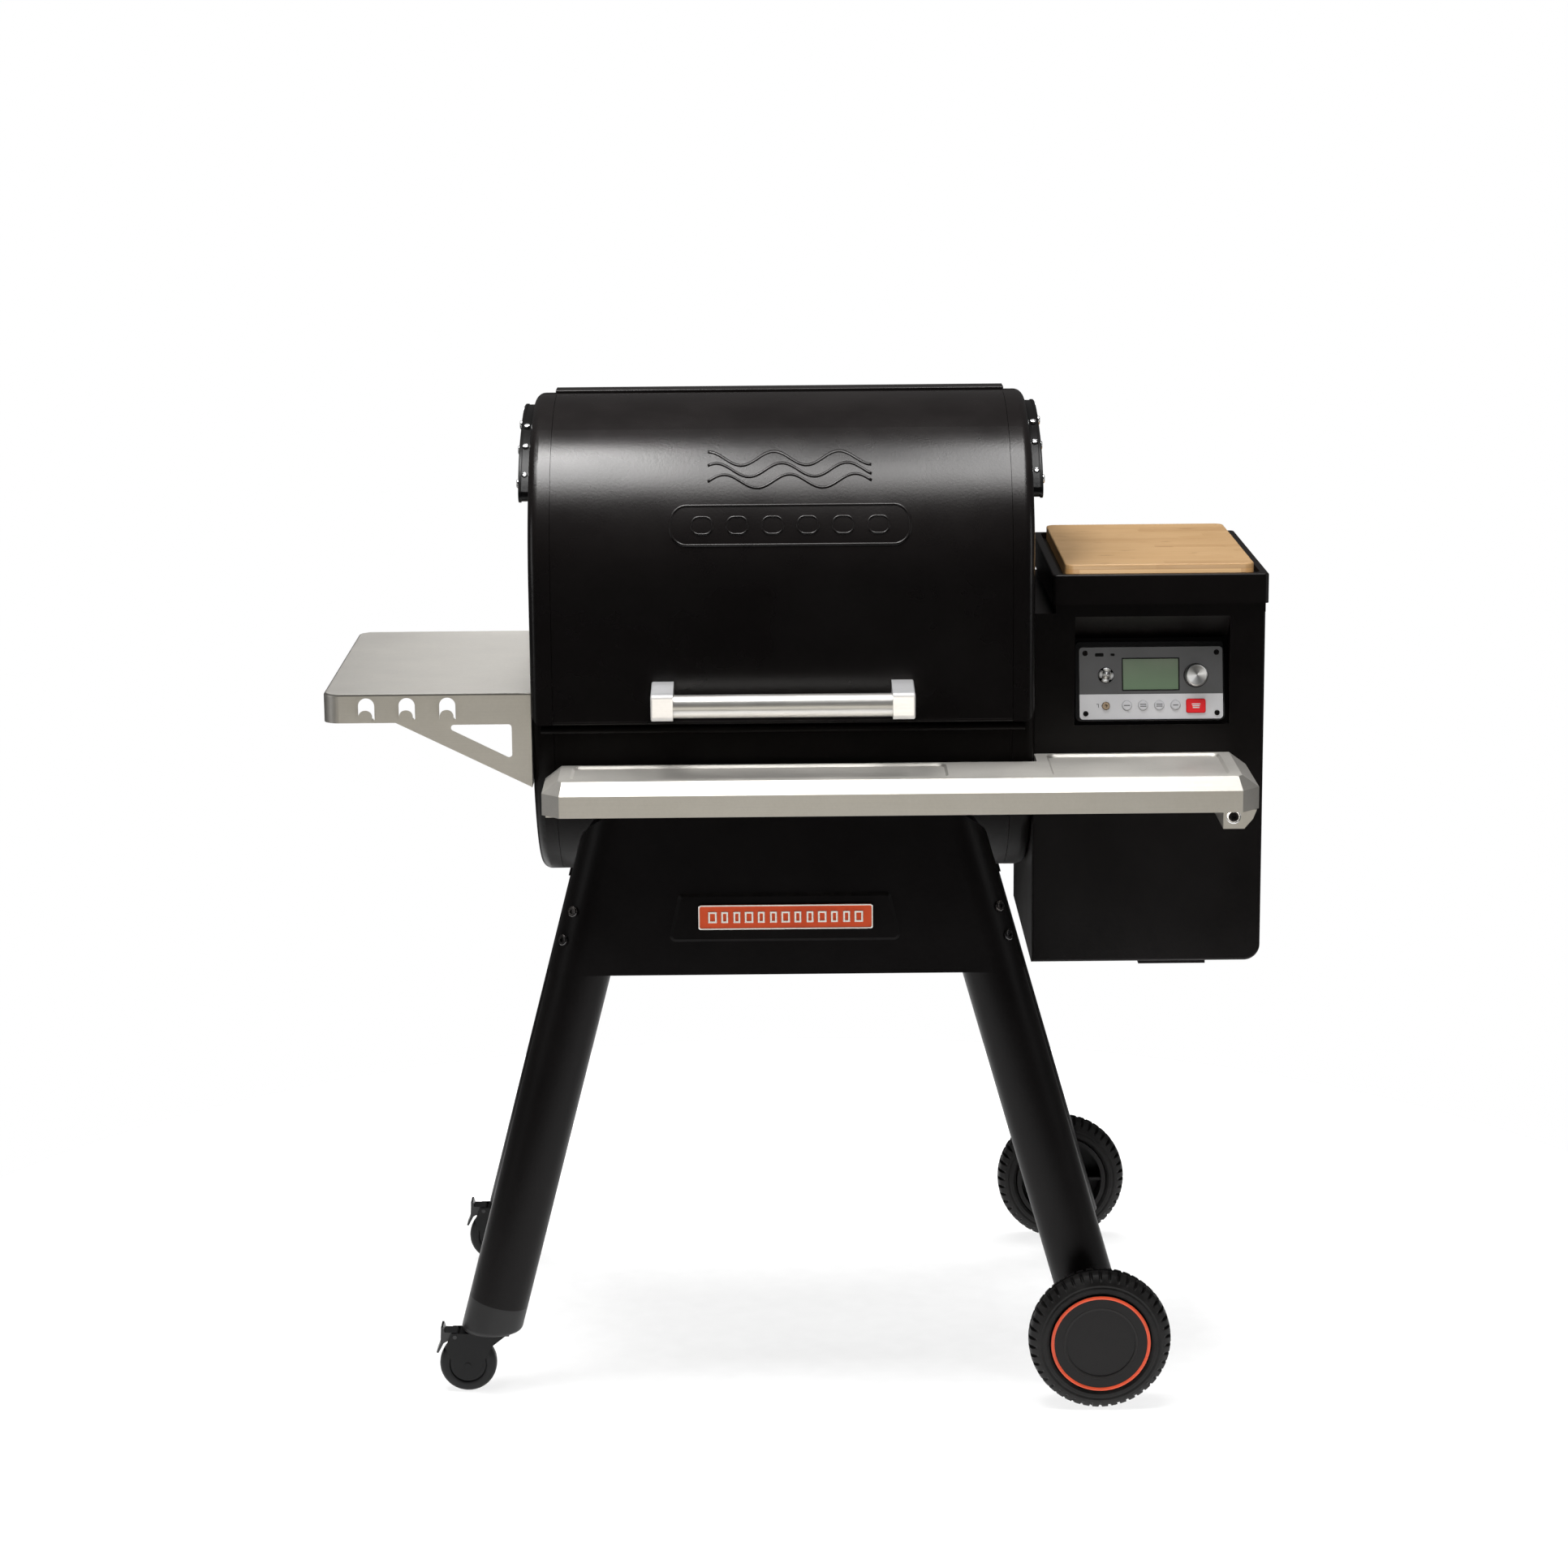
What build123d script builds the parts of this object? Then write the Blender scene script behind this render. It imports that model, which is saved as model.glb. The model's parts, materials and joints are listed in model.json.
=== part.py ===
from build123d import *
import os
from math import cos, radians, sin, sqrt, tan

# Pellet smoker grill. Millimetres, Z up, the front faces -Y, the floor is Z = 0.
# The origin is under the middle of the whole machine's box.

os.makedirs("parts", exist_ok=True)

# ---------------------------------------------------------------- driving dimensions

sheet = 2.0                 # powder coated steel sheet
steel = 1.5                 # stainless sheet of the shelves
joint_gap = 0.5             # gap at a butted seam

barrel_x = -18.8            # middle of the barrel
barrel_half = 309.0         # half the barrel's length
cap_depth = 27.0            # depth of the pressed end caps
cap_round = 12.0            # outer edge radius of the end caps
skin_half = barrel_half - cap_depth - joint_gap

top_z = 1235.0              # crown of the barrel
crown_radius = 300.0        # flat radius over the crown
lid_half_depth = 244.0      # lid front, from the centre line
lid_corner = 200.0          # lid shoulder radius
lid_bottom_z = 855.0        # lower edge of the lid
body_radius = 230.0         # round lower half of the barrel
body_centre_z = 855.0
body_corner = 190.0         # rear shoulder radius
split_gap = 1.5             # gap between lid ends and barrel ends
barrel_rim_y = 5.0          # front edge of the fixed roof, behind the lid

pivot_y = 40.0              # lid pivot
pivot_z = 1207.0
pivot_radius = 5.0
pivot_fit = 0.05
arm_gap = 10.0              # space between the lid end and the hinge arm
arm_thick = 3.5

handle_half = 160.0         # handle, outer faces of the brackets
handle_y = -292.0
handle_z = 886.5
handle_radius = 14.2
bracket_wide = 27.0
bracket_high = 31.0

hopper_left = barrel_x + barrel_half + 0.6
hopper_right = barrel_x + 597.0
hopper_front = -182.6
hopper_back = 171.0
hopper_bottom = 534.0
hopper_deck = 978.0         # fixed deck beside the hopper lid
collar_top = 1008.0
lid_left = barrel_x + 333.3
lid_right = barrel_x + 600.0
lid_front = -190.6
lid_back = 178.8
lid_skirt_z = 990.0
lid_rim_z = 1027.0
lid_rim = 10.0
recess_z = 1019.7
board_size = (233.0, 346.0, 18.0)
board_gap = 0.3
lid_hinge_y = 185.0
lid_hinge_z = 983.5
hinge_rod = 2.5

panel_tilt = 13.0           # the control panel leans back
panel_x = barrel_x + 455.0
panel_origin = (panel_x, -173.0, 890.0)
bezel_size = (186.0, 99.0)
bezel_deep = 10.0
faceplate_size = (178.0, 89.5)
faceplate_mid = (2.4, -2.0)

shelf_top = 802.0
shelf_crease_y = -328.0
shelf_front_y = -342.0
shelf_chamfer_z = 786.5
shelf_bottom = 760.0
shelf_left = barrel_x - 293.0
shelf_left_crease = barrel_x - 273.0
shelf_right = barrel_x + 575.0
shelf_right_crease = barrel_x + 554.0
shelf_step_x = barrel_x + 312.0
shelf_back_y = -231.0
shelf_back_hopper_y = -184.0

side_top = 893.0
side_lip = 36.0
side_left = barrel_x - 565.2
side_right = barrel_x - 309.4
side_half = 227.0
gusset_low = 774.6

leg_radius = 37.5
leg_wall = 2.5
leg_y = 250.0
leg_top = 758.0             # cut flat under the front shelf
shoulder_top = 749.0        # top of the legs' rounded shoulders
left_foot_x = barrel_x - 396.2      # left leg axis at the floor
left_lean = 0.261                   # X per mm of height
right_foot_x = barrel_x + 412.3
right_lean = -0.2845
sleeve_seam = 119.0
sleeve_bottom = 80.0
apron_low = 550.0
shoulder_radius = 60.0

wheel_x = barrel_x + 387.1
wheel_y = 326.0
wheel_radius = 88.4
wheel_width = 45.0
hub_radius = 62.0
axle_radius = 6.0

caster_stem_x = barrel_x - 383.0
caster_trail = 22.5
caster_radius = 36.0
caster_width = 23.0
running_fit = 0.05

auger_z = 672.0
auger_radius = 23.5
tube_radius = 28.0
pot_radius = 60.0


# ---------------------------------------------------------------- shared shapes

def crown_line(half_depth, corner, inset, start_z, end_y, side):
    """Side and crown of the barrel: up from start_z, over the shoulder, to end_y.

    inset moves the whole line inwards; side is -1 for the front, 1 for the rear.
    """
    centre_y = half_depth - corner
    rise = sqrt((crown_radius - corner) ** 2 - centre_y ** 2)
    crown_z = top_z - crown_radius
    reach = crown_radius - inset
    share = reach / (crown_radius - corner)
    shoulder = (side * centre_y * share, crown_z + rise * share)
    wall_y = side * (half_depth - inset)
    wall = Line((wall_y, start_z), (wall_y, crown_z + rise))
    bend = TangentArc(wall @ 1, shoulder, tangent=wall % 1)
    summit = (end_y, crown_z + sqrt(reach ** 2 - end_y ** 2))
    TangentArc(shoulder, summit, tangent=bend % 1)
    return (wall_y, start_z), summit


def split_z(y, gap):
    """Height of the slanted line where lid and barrel meet, gap below it."""
    slope = (top_z - lid_bottom_z) / lid_half_depth
    return top_z + y * slope - gap * sqrt(1 + slope ** 2)


def leg_x(side, z):
    """X of a leg's axis at height z; side is -1 for the left, 1 for the right."""
    if side < 0:
        return left_foot_x + left_lean * z
    return right_foot_x + right_lean * z


def leg_plane(side, y, z):
    """Plane across a leg at height z, its normal up along the leg, its X towards the middle."""
    lean = left_lean if side < 0 else right_lean
    return Plane(origin=(leg_x(side, z), y, z), x_dir=(-side, 0, side * lean), z_dir=(lean, 0, 1))


def stand_outline(grow):
    """Front outline of the two leaning legs with their rounded shoulders."""
    flank_left = leg_radius * sqrt(1 + left_lean ** 2) + grow
    flank_right = leg_radius * sqrt(1 + right_lean ** 2) + grow
    with BuildSketch(Plane.XZ) as outline:
        with BuildLine():
            Polyline(
                (leg_x(-1, 0) - flank_left, 0),
                (leg_x(1, 0) + flank_right, 0),
                (leg_x(1, shoulder_top) + flank_right, shoulder_top + grow),
                (leg_x(-1, shoulder_top) - flank_left, shoulder_top + grow),
                close=True,
            )
        make_face()
        fillet(outline.vertices().group_by(Axis.Y)[-1], shoulder_radius)
    return outline.sketch


def shoulder_cap(side, y):
    """Rounded lid that closes the top of one leg tube."""
    with BuildPart() as core:
        with BuildSketch(leg_plane(side, y, 600)):
            Circle(leg_radius - 0.5)
        extrude(amount=200)
    return core.part & shoulder_shell


def button_head(radius, high):
    """Dome headed screw with a hex socket, seated at the current location, head along +Z."""
    with BuildPart(mode=Mode.PRIVATE) as screw:
        Cylinder(radius, high, align=(Align.CENTER, Align.CENTER, Align.MIN))
        fillet(screw.edges().group_by(Axis.Z)[-1], high * 0.55)
        with BuildSketch(Plane.XY.offset(high)):
            RegularPolygon(radius * 0.45, 6)
        extrude(amount=-high * 0.5, mode=Mode.SUBTRACT)
    return screw.part


# ---------------------------------------------------------------- legs and aprons

below_top = Location((0, 0, leg_top / 2)) * Box(2000, 2000, leg_top)
leg_limit = extrude(stand_outline(0), amount=500, both=True) & below_top
shoulder_shell = leg_limit - extrude(stand_outline(-leg_wall), amount=510, both=True)
shoulder_shell &= Location((0, 0, 750)) * Box(2000, 2000, 200)

for place, y in (("front", -leg_y), ("rear", leg_y)):
    cap_left = shoulder_cap(-1, y)
    cap_right = shoulder_cap(1, y)
    with BuildPart() as leg_left:
        with BuildSketch(leg_plane(-1, y, sleeve_seam)):
            Circle(leg_radius)
            Circle(leg_radius - leg_wall, mode=Mode.SUBTRACT)
        extrude(amount=700)
        add(leg_limit, mode=Mode.INTERSECT)
        add(cap_left)
    leg_left.part.label = f"leg_{place}_left"
    export_step(leg_left.part, f"parts/leg_{place}_left.step")

    with BuildPart() as leg_right:
        with BuildSketch(leg_plane(1, y, 56)):
            Circle(leg_radius)
            Circle(leg_radius - leg_wall, mode=Mode.SUBTRACT)
        extrude(amount=760)
        add(leg_limit, mode=Mode.INTERSECT)
        add(cap_right)
        with Locations((wheel_x, y, wheel_radius)):
            Cylinder(axle_radius + 0.2, 3 * leg_radius, rotation=(90, 0, 0), mode=Mode.SUBTRACT)
    leg_right.part.label = f"leg_{place}_right"
    export_step(leg_right.part, f"parts/leg_{place}_right.step")

# Each apron is one sheet: a flat front, a quarter wrap round each leg and a top flange
# whose edge is scribed to the round barrel.
apron_inner = leg_radius + 0.2
apron_outer = apron_inner + sheet
apron_limit = extrude(stand_outline(sheet + 0.3), amount=500, both=True) & below_top
wrap_past = 6.0             # how far the wrap runs past the leg's widest line
emboss_tall = 61.0
emboss_z = 622.8
emboss_proud = 4.0

with BuildPart() as leg_aprons:
    for side in (-1, 1):
        with BuildSketch(leg_plane(side, -leg_y, apron_low - 30)) as wrap:
            Circle(apron_outer)
            Circle(apron_inner, mode=Mode.SUBTRACT)
            with Locations((apron_outer, 0)):
                Rectangle(2 * apron_outer, 4 * apron_outer, mode=Mode.SUBTRACT)
            with Locations((0, -side * (apron_outer + wrap_past))):
                Rectangle(4 * apron_outer, 2 * apron_outer, mode=Mode.SUBTRACT)
        extrude(amount=300)
    with BuildSketch(Plane.XZ.offset(leg_y + apron_inner)):
        with BuildLine():
            Polyline(
                (leg_x(-1, 500), 500),
                (leg_x(1, 500), 500),
                (leg_x(1, leg_top), leg_top),
                (leg_x(-1, leg_top), leg_top),
                close=True,
            )
        make_face()
    extrude(amount=sheet)
    flange_left = leg_x(-1, shoulder_top) + leg_radius + 6
    flange_right = leg_x(1, shoulder_top) - leg_radius - 6
    with BuildSketch(Plane.XY.offset(shoulder_top + 0.3)):
        with Locations(((flange_left + flange_right) / 2, -leg_y + 6)):
            Rectangle(flange_right - flange_left, 2 * apron_outer + 12)
    extrude(amount=sheet)
    add(apron_limit, mode=Mode.INTERSECT)
    with Locations((0, 0, apron_low / 2)):
        Box(1400, 1400, apron_low, mode=Mode.SUBTRACT)
    with Locations((barrel_x, 0, body_centre_z)):
        Cylinder(body_radius + 0.1, 700, rotation=(0, 90, 0), mode=Mode.SUBTRACT)
    with BuildSketch(Plane.XZ.offset(leg_y + apron_outer)) as emboss:
        with Locations((barrel_x, emboss_z)):
            Trapezoid(287, emboss_tall, 77)
        fillet(emboss.vertices(), 8)
    extrude(amount=emboss_proud, taper=45)
    mirror(about=Plane.XZ)
leg_aprons.part.label = "leg_aprons"
export_step(leg_aprons.part, "parts/leg_aprons.step")

badge_back = leg_y + apron_outer + emboss_proud
with BuildPart() as badge_plate:
    with BuildSketch(Plane.XZ.offset(badge_back + 0.05)) as badge:
        with Locations((barrel_x + 1, emboss_z + 1.2)):
            RectangleRounded(214, 31, 4)
    extrude(amount=1.6)
    chamfer(badge_plate.faces().sort_by(Axis.Y)[0].edges(), 0.6)
badge_plate.part.label = "badge_plate"
export_step(badge_plate.part, "parts/badge_plate.step")

# ---------------------------------------------------------------- barrel

with BuildPart() as barrel_skin:
    with BuildSketch(Plane.YZ.offset(barrel_x - skin_half)):
        with BuildLine():
            outer_foot, outer_rim = crown_line(
                body_radius, body_corner, 0, body_centre_z, barrel_rim_y, 1)
            inner_foot, inner_rim = crown_line(
                body_radius, body_corner, sheet, body_centre_z, barrel_rim_y, 1)
            Line(outer_rim, inner_rim)
            for inset in (0, sheet):
                radius = body_radius - inset
                ThreePointArc(
                    (radius, body_centre_z), (0, body_centre_z - radius), (-radius, body_centre_z))
                Line((-radius, body_centre_z), (-radius, 874))
            Line((-body_radius, 874), (sheet - body_radius, 874))
        make_face()
    extrude(amount=2 * skin_half)
    # ledges that carry the grates and the drip tray
    for ledge_z, ledge_y in ((862.0, 219.0), (790.0, 209.0)):
        with Locations((barrel_x, ledge_y, ledge_z), (barrel_x, -ledge_y, ledge_z)):
            Box(2 * skin_half - 4, 20, sheet)
    # rolled lip that the lid comes down to
    with Locations((barrel_x, -body_radius - 4.7, 847.5)):
        Cylinder(4.5, 2 * (barrel_half - 12), rotation=(0, 90, 0))
    with Locations((barrel_x, -body_radius - 0.5, 847.5)):
        Box(2 * skin_half - 4, 3, 3)
    # exhaust slots under the vent hood
    with BuildSketch(Plane.XY.offset(top_z - 20)):
        with Locations((barrel_x, 31)):
            with GridLocations(62, 1, 8, 1):
                SlotOverall(46, 10)
    extrude(amount=40, mode=Mode.SUBTRACT)
barrel_skin.part.label = "barrel_skin"
export_step(barrel_skin.part, "parts/barrel_skin.step")

with BuildPart() as barrel_ends:
    with BuildSketch(Plane.YZ.offset(barrel_x - barrel_half)):
        with BuildLine():
            end_foot, end_rim = crown_line(
                body_radius, body_corner, 0, body_centre_z, barrel_rim_y, 1)
            ThreePointArc(
                end_foot, (0, body_centre_z - body_radius), (-body_radius, body_centre_z))
            split_front = (-body_radius, split_z(-body_radius, split_gap))
            Line((-body_radius, body_centre_z), split_front)
            Line(split_front, (barrel_rim_y, split_z(barrel_rim_y, split_gap + 3)))
            Line((barrel_rim_y, split_z(barrel_rim_y, split_gap + 3)), end_rim)
        make_face()
    extrude(amount=cap_depth)
    outer_face = barrel_ends.faces().sort_by(Axis.X)[0]
    round_edges = outer_face.edges().filter_by(GeomType.CIRCLE)
    round_edges = round_edges + outer_face.edges().filter_by(Axis.Z).sort_by(Axis.Y)[-1:]
    fillet(round_edges, cap_round)
    offset(amount=-sheet, openings=barrel_ends.faces().sort_by(Axis.X)[-1])
    mirror(about=Plane.YZ.offset(barrel_x))
    # auger and fan inlets, right end
    with Locations((barrel_x + barrel_half, 0, auger_z)):
        Cylinder(tube_radius + 0.5, 60, rotation=(0, 90, 0), mode=Mode.SUBTRACT)
    with Locations((barrel_x + barrel_half, -105, 728)):
        Box(60, 44.6, 28.6, mode=Mode.SUBTRACT)
    # bolt holes of the two lid pivots, and of the temperature probe on the left
    with Locations((barrel_x, pivot_y, pivot_z)):
        Cylinder(pivot_radius, 700, rotation=(0, 90, 0), mode=Mode.SUBTRACT)
    with Locations((barrel_x - barrel_half, 60, 960)):
        Cylinder(3.2, 40, rotation=(0, 90, 0), mode=Mode.SUBTRACT)
barrel_ends.part.label = "barrel_ends"
export_step(barrel_ends.part, "parts/barrel_ends.step")

hood_front = 12.0
hood_back = 50.0
hood_top = 1238.0
with BuildPart() as vent_hood:
    with BuildSketch(Plane.YZ.offset(barrel_x - 284)):
        with BuildLine():
            Polyline((hood_front, top_z), (hood_front, hood_top), (hood_back, hood_top),
                     (hood_back, 1231.2), (hood_back - 1.6, 1231.2),
                     (hood_back - 1.6, hood_top - 1.6), (hood_front + 1.6, hood_top - 1.6),
                     (hood_front + 1.6, top_z), close=True)
        make_face()
    extrude(amount=568)
    fillet(vent_hood.edges().filter_by(Axis.X).group_by(Axis.Z)[-1], 1.2)
vent_hood.part.label = "vent_hood"
export_step(vent_hood.part, "parts/vent_hood.step")

# ---------------------------------------------------------------- lid

hem_wide = 9.0
with BuildPart() as lid_skin:
    with BuildSketch(Plane.YZ.offset(barrel_x - skin_half)):
        with BuildLine():
            outer_foot, outer_rim = crown_line(
                lid_half_depth, lid_corner, 0, lid_bottom_z, 0, -1)
            inner_foot, inner_rim = crown_line(
                lid_half_depth, lid_corner, sheet, lid_bottom_z, 0, -1)
            Line(outer_rim, inner_rim)
            Line(inner_foot, outer_foot)
        make_face()
        with Locations((-lid_half_depth + hem_wide / 2, lid_bottom_z + sheet / 2)):
            Rectangle(hem_wide, sheet)
        with Locations((-lid_half_depth + 2.5, lid_bottom_z + 2.5)):
            Circle(3.0)
    extrude(amount=2 * skin_half)
lid_skin.part.label = "lid_skin"
export_step(lid_skin.part, "parts/lid_skin.step")

with BuildPart() as lid_ends:
    with BuildSketch(Plane.YZ.offset(barrel_x - barrel_half)):
        with BuildLine():
            end_foot, end_rim = crown_line(lid_half_depth, lid_corner, 0, lid_bottom_z, 0, -1)
            Line(end_rim, end_foot)
        make_face()
    extrude(amount=cap_depth)
    outer_face = lid_ends.faces().sort_by(Axis.X)[0]
    round_edges = outer_face.edges().filter_by(GeomType.CIRCLE)
    round_edges = round_edges + outer_face.edges().filter_by(Axis.Z)
    fillet(round_edges, cap_round)
    offset(amount=-sheet, openings=lid_ends.faces().sort_by(Axis.X)[-1])
    mirror(about=Plane.YZ.offset(barrel_x))
lid_ends.part.label = "lid_ends"
export_step(lid_ends.part, "parts/lid_ends.step")

# Hinge arms: crescents outside the lid ends, from the pivot down along the lid's shoulder.
arm_inner_x = barrel_half + arm_gap
arm_screws = ((-60.0, 1203.0), (-105.0, 1177.0), (-150.0, 1141.0))
with BuildSketch(Plane.YZ) as crescent:
    with BuildLine():
        Spline((pivot_y + 3, pivot_z + 10.5), (-40, 1217), (-110, 1193), (-175, 1134),
               tangents=((-1, 0.2), (-0.45, -1)))
        RadiusArc((-175, 1134), (-159, 1121), -11)
        Spline((-159, 1121), (-95, 1165), (-40, 1192), (pivot_y + 3, pivot_z - 9.5),
               tangents=((0.5, 1), (1, 0.1)))
        RadiusArc((pivot_y + 3, pivot_z - 9.5), (pivot_y + 3, pivot_z + 10.5), -10.5)
    make_face()
with BuildSketch(Plane.YZ) as arm_rim:
    with BuildLine():
        Spline((25, 1219.2), (-40, 1216.2), (-109.5, 1192.2), (-174, 1134))
        RadiusArc((-174, 1134), (-159.4, 1122.2), -10)
        Spline((-159.4, 1122.2), (-95, 1166), (-40, 1193), (25, 1198.6))
        Line((25, 1198.6), (25, 1201))
        Spline((25, 1201), (-41, 1195.4), (-96.4, 1168.2), (-160.4, 1125.2))
        RadiusArc((-160.4, 1125.2), (-171.4, 1133.4), 7.6)
        Spline((-171.4, 1133.4), (-108.2, 1189.8), (-39.4, 1213.6), (25, 1216.6))
        Line((25, 1216.6), (25, 1219.2))
    make_face()
with BuildPart() as hinge_arms:
    with BuildSketch(Plane.YZ.offset(barrel_x - arm_inner_x)):
        add(crescent.sketch_local)
    extrude(amount=-arm_thick)
    fillet(hinge_arms.faces().sort_by(Axis.X)[0].edges(), 1.2)
    # folded rim that faces the lid end, open at the pivot
    with BuildSketch(Plane.YZ.offset(barrel_x - arm_inner_x)):
        add(arm_rim.sketch_local)
    extrude(amount=arm_gap - 0.6)
    with Locations((barrel_x - arm_inner_x, pivot_y, pivot_z)):
        Cylinder(pivot_radius + pivot_fit, 30, rotation=(0, 90, 0), mode=Mode.SUBTRACT)
    with Locations(*[(barrel_x - arm_inner_x, y, z) for y, z in arm_screws]):
        Cylinder(3.0, 30, rotation=(0, 90, 0), mode=Mode.SUBTRACT)
    mirror(about=Plane.YZ.offset(barrel_x))
hinge_arms.part.label = "hinge_arms"
export_step(hinge_arms.part, "parts/hinge_arms.step")

# Shoulder screws: bright spacers between arm and lid end, heads outside the arm.
with BuildPart() as lid_screws:
    for y, z in arm_screws:
        seat = Plane(origin=(barrel_x - barrel_half, y, z), z_dir=(-1, 0, 0))
        with BuildSketch(seat):
            Circle(5.0)
        extrude(amount=arm_gap)
        with BuildSketch(seat):
            Circle(2.95)
        extrude(amount=arm_gap + arm_thick)
        add(seat.offset(arm_gap + arm_thick).location * button_head(5.5, 3.0))
    mirror(about=Plane.YZ.offset(barrel_x))
lid_screws.part.label = "lid_screws"
export_step(lid_screws.part, "parts/lid_screws.step")

bar_half = handle_half - bracket_wide / 2
with BuildPart() as handle_bar:
    with BuildSketch(Plane.YZ.offset(barrel_x - bar_half)):
        with Locations((handle_y, handle_z)):
            Circle(handle_radius)
            Circle(handle_radius - 2, mode=Mode.SUBTRACT)
    extrude(amount=2 * bar_half)
handle_bar.part.label = "handle_bar"
export_step(handle_bar.part, "parts/handle_bar.step")

with BuildPart() as handle_brackets:
    with BuildSketch(Plane.YZ.offset(barrel_x - handle_half)) as cheek:
        with BuildLine():
            Polyline((-lid_half_depth - 0.1, handle_z - 15), (-lid_half_depth - 0.1, handle_z + 22),
                     (handle_y, handle_z + bracket_high / 2 + 1.5),
                     (handle_y - 17, handle_z + bracket_high / 2 + 1.5),
                     (handle_y - 17, handle_z - bracket_high / 2),
                     (handle_y, handle_z - bracket_high / 2 - 0.5), close=True)
        make_face()
        fillet(cheek.vertices().group_by(Axis.X)[0], 6)
    extrude(amount=bracket_wide)
    fillet(handle_brackets.faces().sort_by(Axis.X)[0].edges().filter_by_position(
        Axis.Y, -400, -lid_half_depth - 1), 2.5)
    with Locations((barrel_x - handle_half + bracket_wide, handle_y, handle_z)):
        Cylinder(handle_radius + 0.1, bracket_wide, rotation=(0, 90, 0), mode=Mode.SUBTRACT)
    mirror(about=Plane.YZ.offset(barrel_x))
handle_brackets.part.label = "handle_brackets"
export_step(handle_brackets.part, "parts/handle_brackets.step")

# ---------------------------------------------------------------- inside the barrel

grate_z = 866.5
grate_long = 270.0
grate_deep = 428.0
rod = 3.0
with BuildPart() as cooking_grates:
    for middle in (-138.0, 138.0):
        with Locations((barrel_x + middle, 0, grate_z)):
            with GridLocations(0, grate_deep - 2 * rod, 1, 2):
                Box(grate_long, 2 * rod, 2 * rod)
            with GridLocations(grate_long - 2 * rod, 0, 2, 1):
                Box(2 * rod, grate_deep, 2 * rod)
            with GridLocations(16.4, 1, 15, 1):
                Box(2 * rod - 1, grate_deep - rod, 2 * rod - 1)
            Box(grate_long - rod, 2 * rod, 2 * rod - 1)
cooking_grates.part.label = "cooking_grates"
export_step(cooking_grates.part, "parts/cooking_grates.step")

with BuildPart() as drip_tray:
    with Locations((barrel_x, 0, 798)):
        Box(530, 396, 14)
    fillet(drip_tray.edges().filter_by(Axis.Z), 12)
    offset(amount=-sheet, openings=drip_tray.faces().sort_by(Axis.Z)[-1])
drip_tray.part.label = "drip_tray"
export_step(drip_tray.part, "parts/drip_tray.step")

with BuildPart() as heat_baffle:
    with BuildSketch(Plane.XZ) as roof:
        with BuildLine():
            Polyline((barrel_x - 150, 744), (barrel_x, 762), (barrel_x + 150, 744),
                     (barrel_x + 150, 742), (barrel_x, 760), (barrel_x - 150, 742), close=True)
        make_face()
    extrude(amount=120, both=True)
    for side in (-1, 1):
        with Locations((barrel_x + side * 149, 0, 0)):
            with Locations((0, 90, 700), (0, -90, 700)):
                Box(2, 20, 86)
    with Locations((barrel_x, 0, body_centre_z)):
        Cylinder(body_radius - sheet - 0.1, 700, rotation=(0, 90, 0), mode=Mode.INTERSECT)
heat_baffle.part.label = "heat_baffle"
export_step(heat_baffle.part, "parts/heat_baffle.step")

pot_floor = 636.5
with BuildPart() as fire_pot:
    with Locations((barrel_x, 0, pot_floor)):
        Cylinder(pot_radius, 90, align=(Align.CENTER, Align.CENTER, Align.MIN))
    offset(amount=-3, openings=fire_pot.faces().sort_by(Axis.Z)[-1])
    with Locations((barrel_x, 0, pot_floor + 46)):
        with PolarLocations(pot_radius, 10, start_angle=27):
            Cylinder(4, 20, rotation=(0, 90, 0), mode=Mode.SUBTRACT)
    with Locations((barrel_x + pot_radius, 0, auger_z)):
        Cylinder(tube_radius + 0.5, 30, rotation=(0, 90, 0), mode=Mode.SUBTRACT)
    with Locations((barrel_x - pot_radius, 0, pot_floor + 18)):
        Cylinder(5.2, 30, rotation=(0, 90, 0), mode=Mode.SUBTRACT)
fire_pot.part.label = "fire_pot"
export_step(fire_pot.part, "parts/fire_pot.step")

with BuildPart() as igniter_rod:
    with Locations((barrel_x - pot_radius + 8, 0, pot_floor + 18)):
        Cylinder(5, 90, rotation=(0, 90, 0), align=(Align.CENTER, Align.CENTER, Align.MAX))
    fillet(igniter_rod.edges().sort_by(Axis.X)[-1], 2)
igniter_rod.part.label = "igniter_rod"
export_step(igniter_rod.part, "parts/igniter_rod.step")

with BuildPart() as temperature_probe:
    with Locations((barrel_x - barrel_half - 4, 60, 960)):
        Cylinder(3, 70, rotation=(0, 90, 0), align=(Align.CENTER, Align.CENTER, Align.MIN))
    with Locations((barrel_x - barrel_half + sheet + 0.1, 60, 960)):
        Cylinder(7, 6, rotation=(0, 90, 0), align=(Align.CENTER, Align.CENTER, Align.MIN))
    fillet(temperature_probe.edges().sort_by(Axis.X)[-1], 2)
temperature_probe.part.label = "temperature_probe"
export_step(temperature_probe.part, "parts/temperature_probe.step")

# ---------------------------------------------------------------- pellet feed and fan

tube_left = barrel_x + pot_radius - 2
tube_right = barrel_x + 508
feed_x = barrel_x + 455
with BuildPart() as auger_tube:
    with Locations(((tube_left + tube_right) / 2, 0, auger_z)):
        Cylinder(tube_radius, tube_right - tube_left, rotation=(0, 90, 0))
        Cylinder(tube_radius - sheet, 700, rotation=(0, 90, 0), mode=Mode.SUBTRACT)
    with Locations((feed_x, 0, auger_z + tube_radius)):
        Box(50, 40, 30, mode=Mode.SUBTRACT)
auger_tube.part.label = "auger_tube"
export_step(auger_tube.part, "parts/auger_tube.step")

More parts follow.
